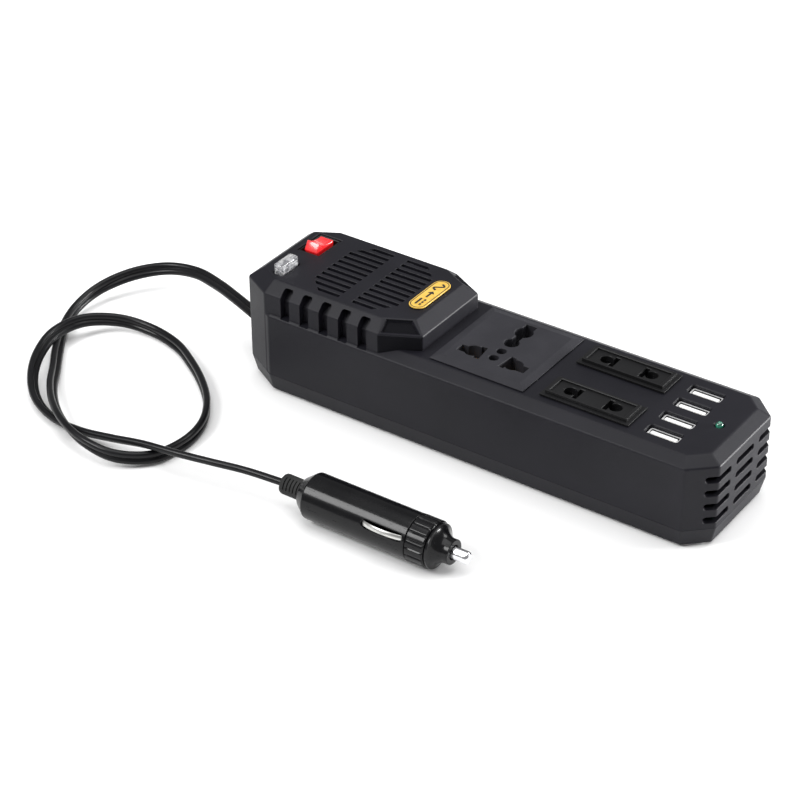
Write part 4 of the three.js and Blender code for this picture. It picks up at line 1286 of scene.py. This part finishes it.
def side_contact(turn_angle):
    """A bowed spring leaf, its ends tucked inside the barrel."""
    section = [(-1, -0.5), (1, -0.5), (1, -0.15), (0.8, 0), (-0.8, 0), (-1, -0.15)]
    steps = 12
    rings = []
    for step in range(2 * steps + 1):
        t = step / steps - 1
        along = LEAF["middle"] + LEAF["half"] * t
        height = LEAF["edge"] + LEAF["bow"] * (1 - t * t)
        slope = math.atan2(-2 * LEAF["bow"] * t, 9.2)
        rings.append([
            (along - through * math.sin(slope), aside, height + through * math.cos(slope))
            for aside, through in section
        ])
    return moved(at_contact(stacked(rings), turn_angle), shift(*PLUG_PLACE))


boot = piece("plug_boot_sleeve", plug_boot(), RUBBER, ["plug_boot"])
barrel = piece("plug_barrel", plug_barrel(), GLOSS, ["plug_body"], weigh=True)
ring = piece("plug_grip_ring", plug_ring(), GLOSS, ["plug_ring"], "plug_ring",
             weigh=True)
nose = piece("plug_nose_cone", plug_nose(), GLOSS, ["plug_nose"], "plug_nose",
             crease=40)
tip = piece("plug_tip_pin", plug_tip(), STEEL, ["plug_tip"], "plug_tip")
contacts = [
    piece(f"plug_side_leaf_{number}", side_contact(angle), SCREW_STEEL,
          [f"side_contact_{number}"], f"side_contact_{number}", crease=50)
    for number, angle in ((1, 0.0), (2, math.pi))
]

# ---------------- CAD parts that keep their shape


def refinish(finish, *nodes, edge=0.12):
    """Gives CAD parts a finish, and a fine rounded edge."""
    for node in nodes:
        item = bpy.data.objects[node]
        for place in item.material_slots:
            place.link = "OBJECT"
            place.material = finish
        if edge:
            bevel = item.modifiers.new("fine_edge", "BEVEL")
            bevel.width = edge * MM
            bevel.segments = 2
            bevel.limit_method = "ANGLE"
            bevel.angle_limit = math.radians(40)


refinish(BRASS, "live_contact", "neutral_contact")
refinish(STEEL, "earth_contact",
         *[f"{end}_outlet_contact_{pin}" for end in ("front", "rear") for pin in (1, 2)])
refinish(BOARD, "main_board", "usb_board")
refinish(ALUMINIUM, "heat_sink")
refinish(BLACK, "transistor_1", "transistor_2", "fuse_holder")
refinish(FERRITE, "transformer_core", edge=0.4)
refinish(COPPER, "transformer_winding", edge=0.8)
refinish(FILM, "capacitor_1", "capacitor_2")
refinish(STEEL, "plug_fuse")
refinish(STEEL, "tip_spring", edge=0)

# ---------------- studio


def studio_plane(name, size, finish):
    bm = bmesh.new()
    bmesh.ops.create_grid(bm, x_segments=4, y_segments=4, size=size / 2)
    item = loose(bm, name)
    item.data.materials.append(finish)


def soft_light(name, place, target, size, power):
    lamp = bpy.data.lights.new(name, "AREA")
    lamp.shape = "RECTANGLE"
    lamp.size, lamp.size_y = size
    lamp.energy = power
    item = bpy.data.objects.new(name, lamp)
    item.location = place
    item.rotation_euler = (Vector(target) - Vector(place)).to_track_quat("-Z", "Y").to_euler()
    bpy.context.scene.collection.objects.link(item)


studio_plane("studio_floor", 12.0, studio_floor("floor_paper"))
soft_light("ceiling_softbox", (0.0, 0.1, 3.0), (0, 0.1, 0), (3.0, 3.0), 75)
soft_light("front_softbox", (-0.70, -0.93, 1.0), (-0.05, -0.03, 0.03), (0.6, 0.6), 15)
soft_light("rear_softbox", (0.55, 1.05, 1.0), (0.05, 0, 0.03), (0.5, 0.5), 6)
soft_light("right_kicker", (0.8, 0.7, 0.14), (0.1, 0, 0.02), (0.5, 0.2), 19)

world = bpy.data.worlds.new("studio_air")
world.use_nodes = True
sky = world.node_tree.nodes["Background"].inputs
sky["Color"].default_value = (1, 1, 1, 1)
sky["Strength"].default_value = 0.3
bpy.context.scene.world = world
bpy.context.scene.view_settings.view_transform = "Standard"
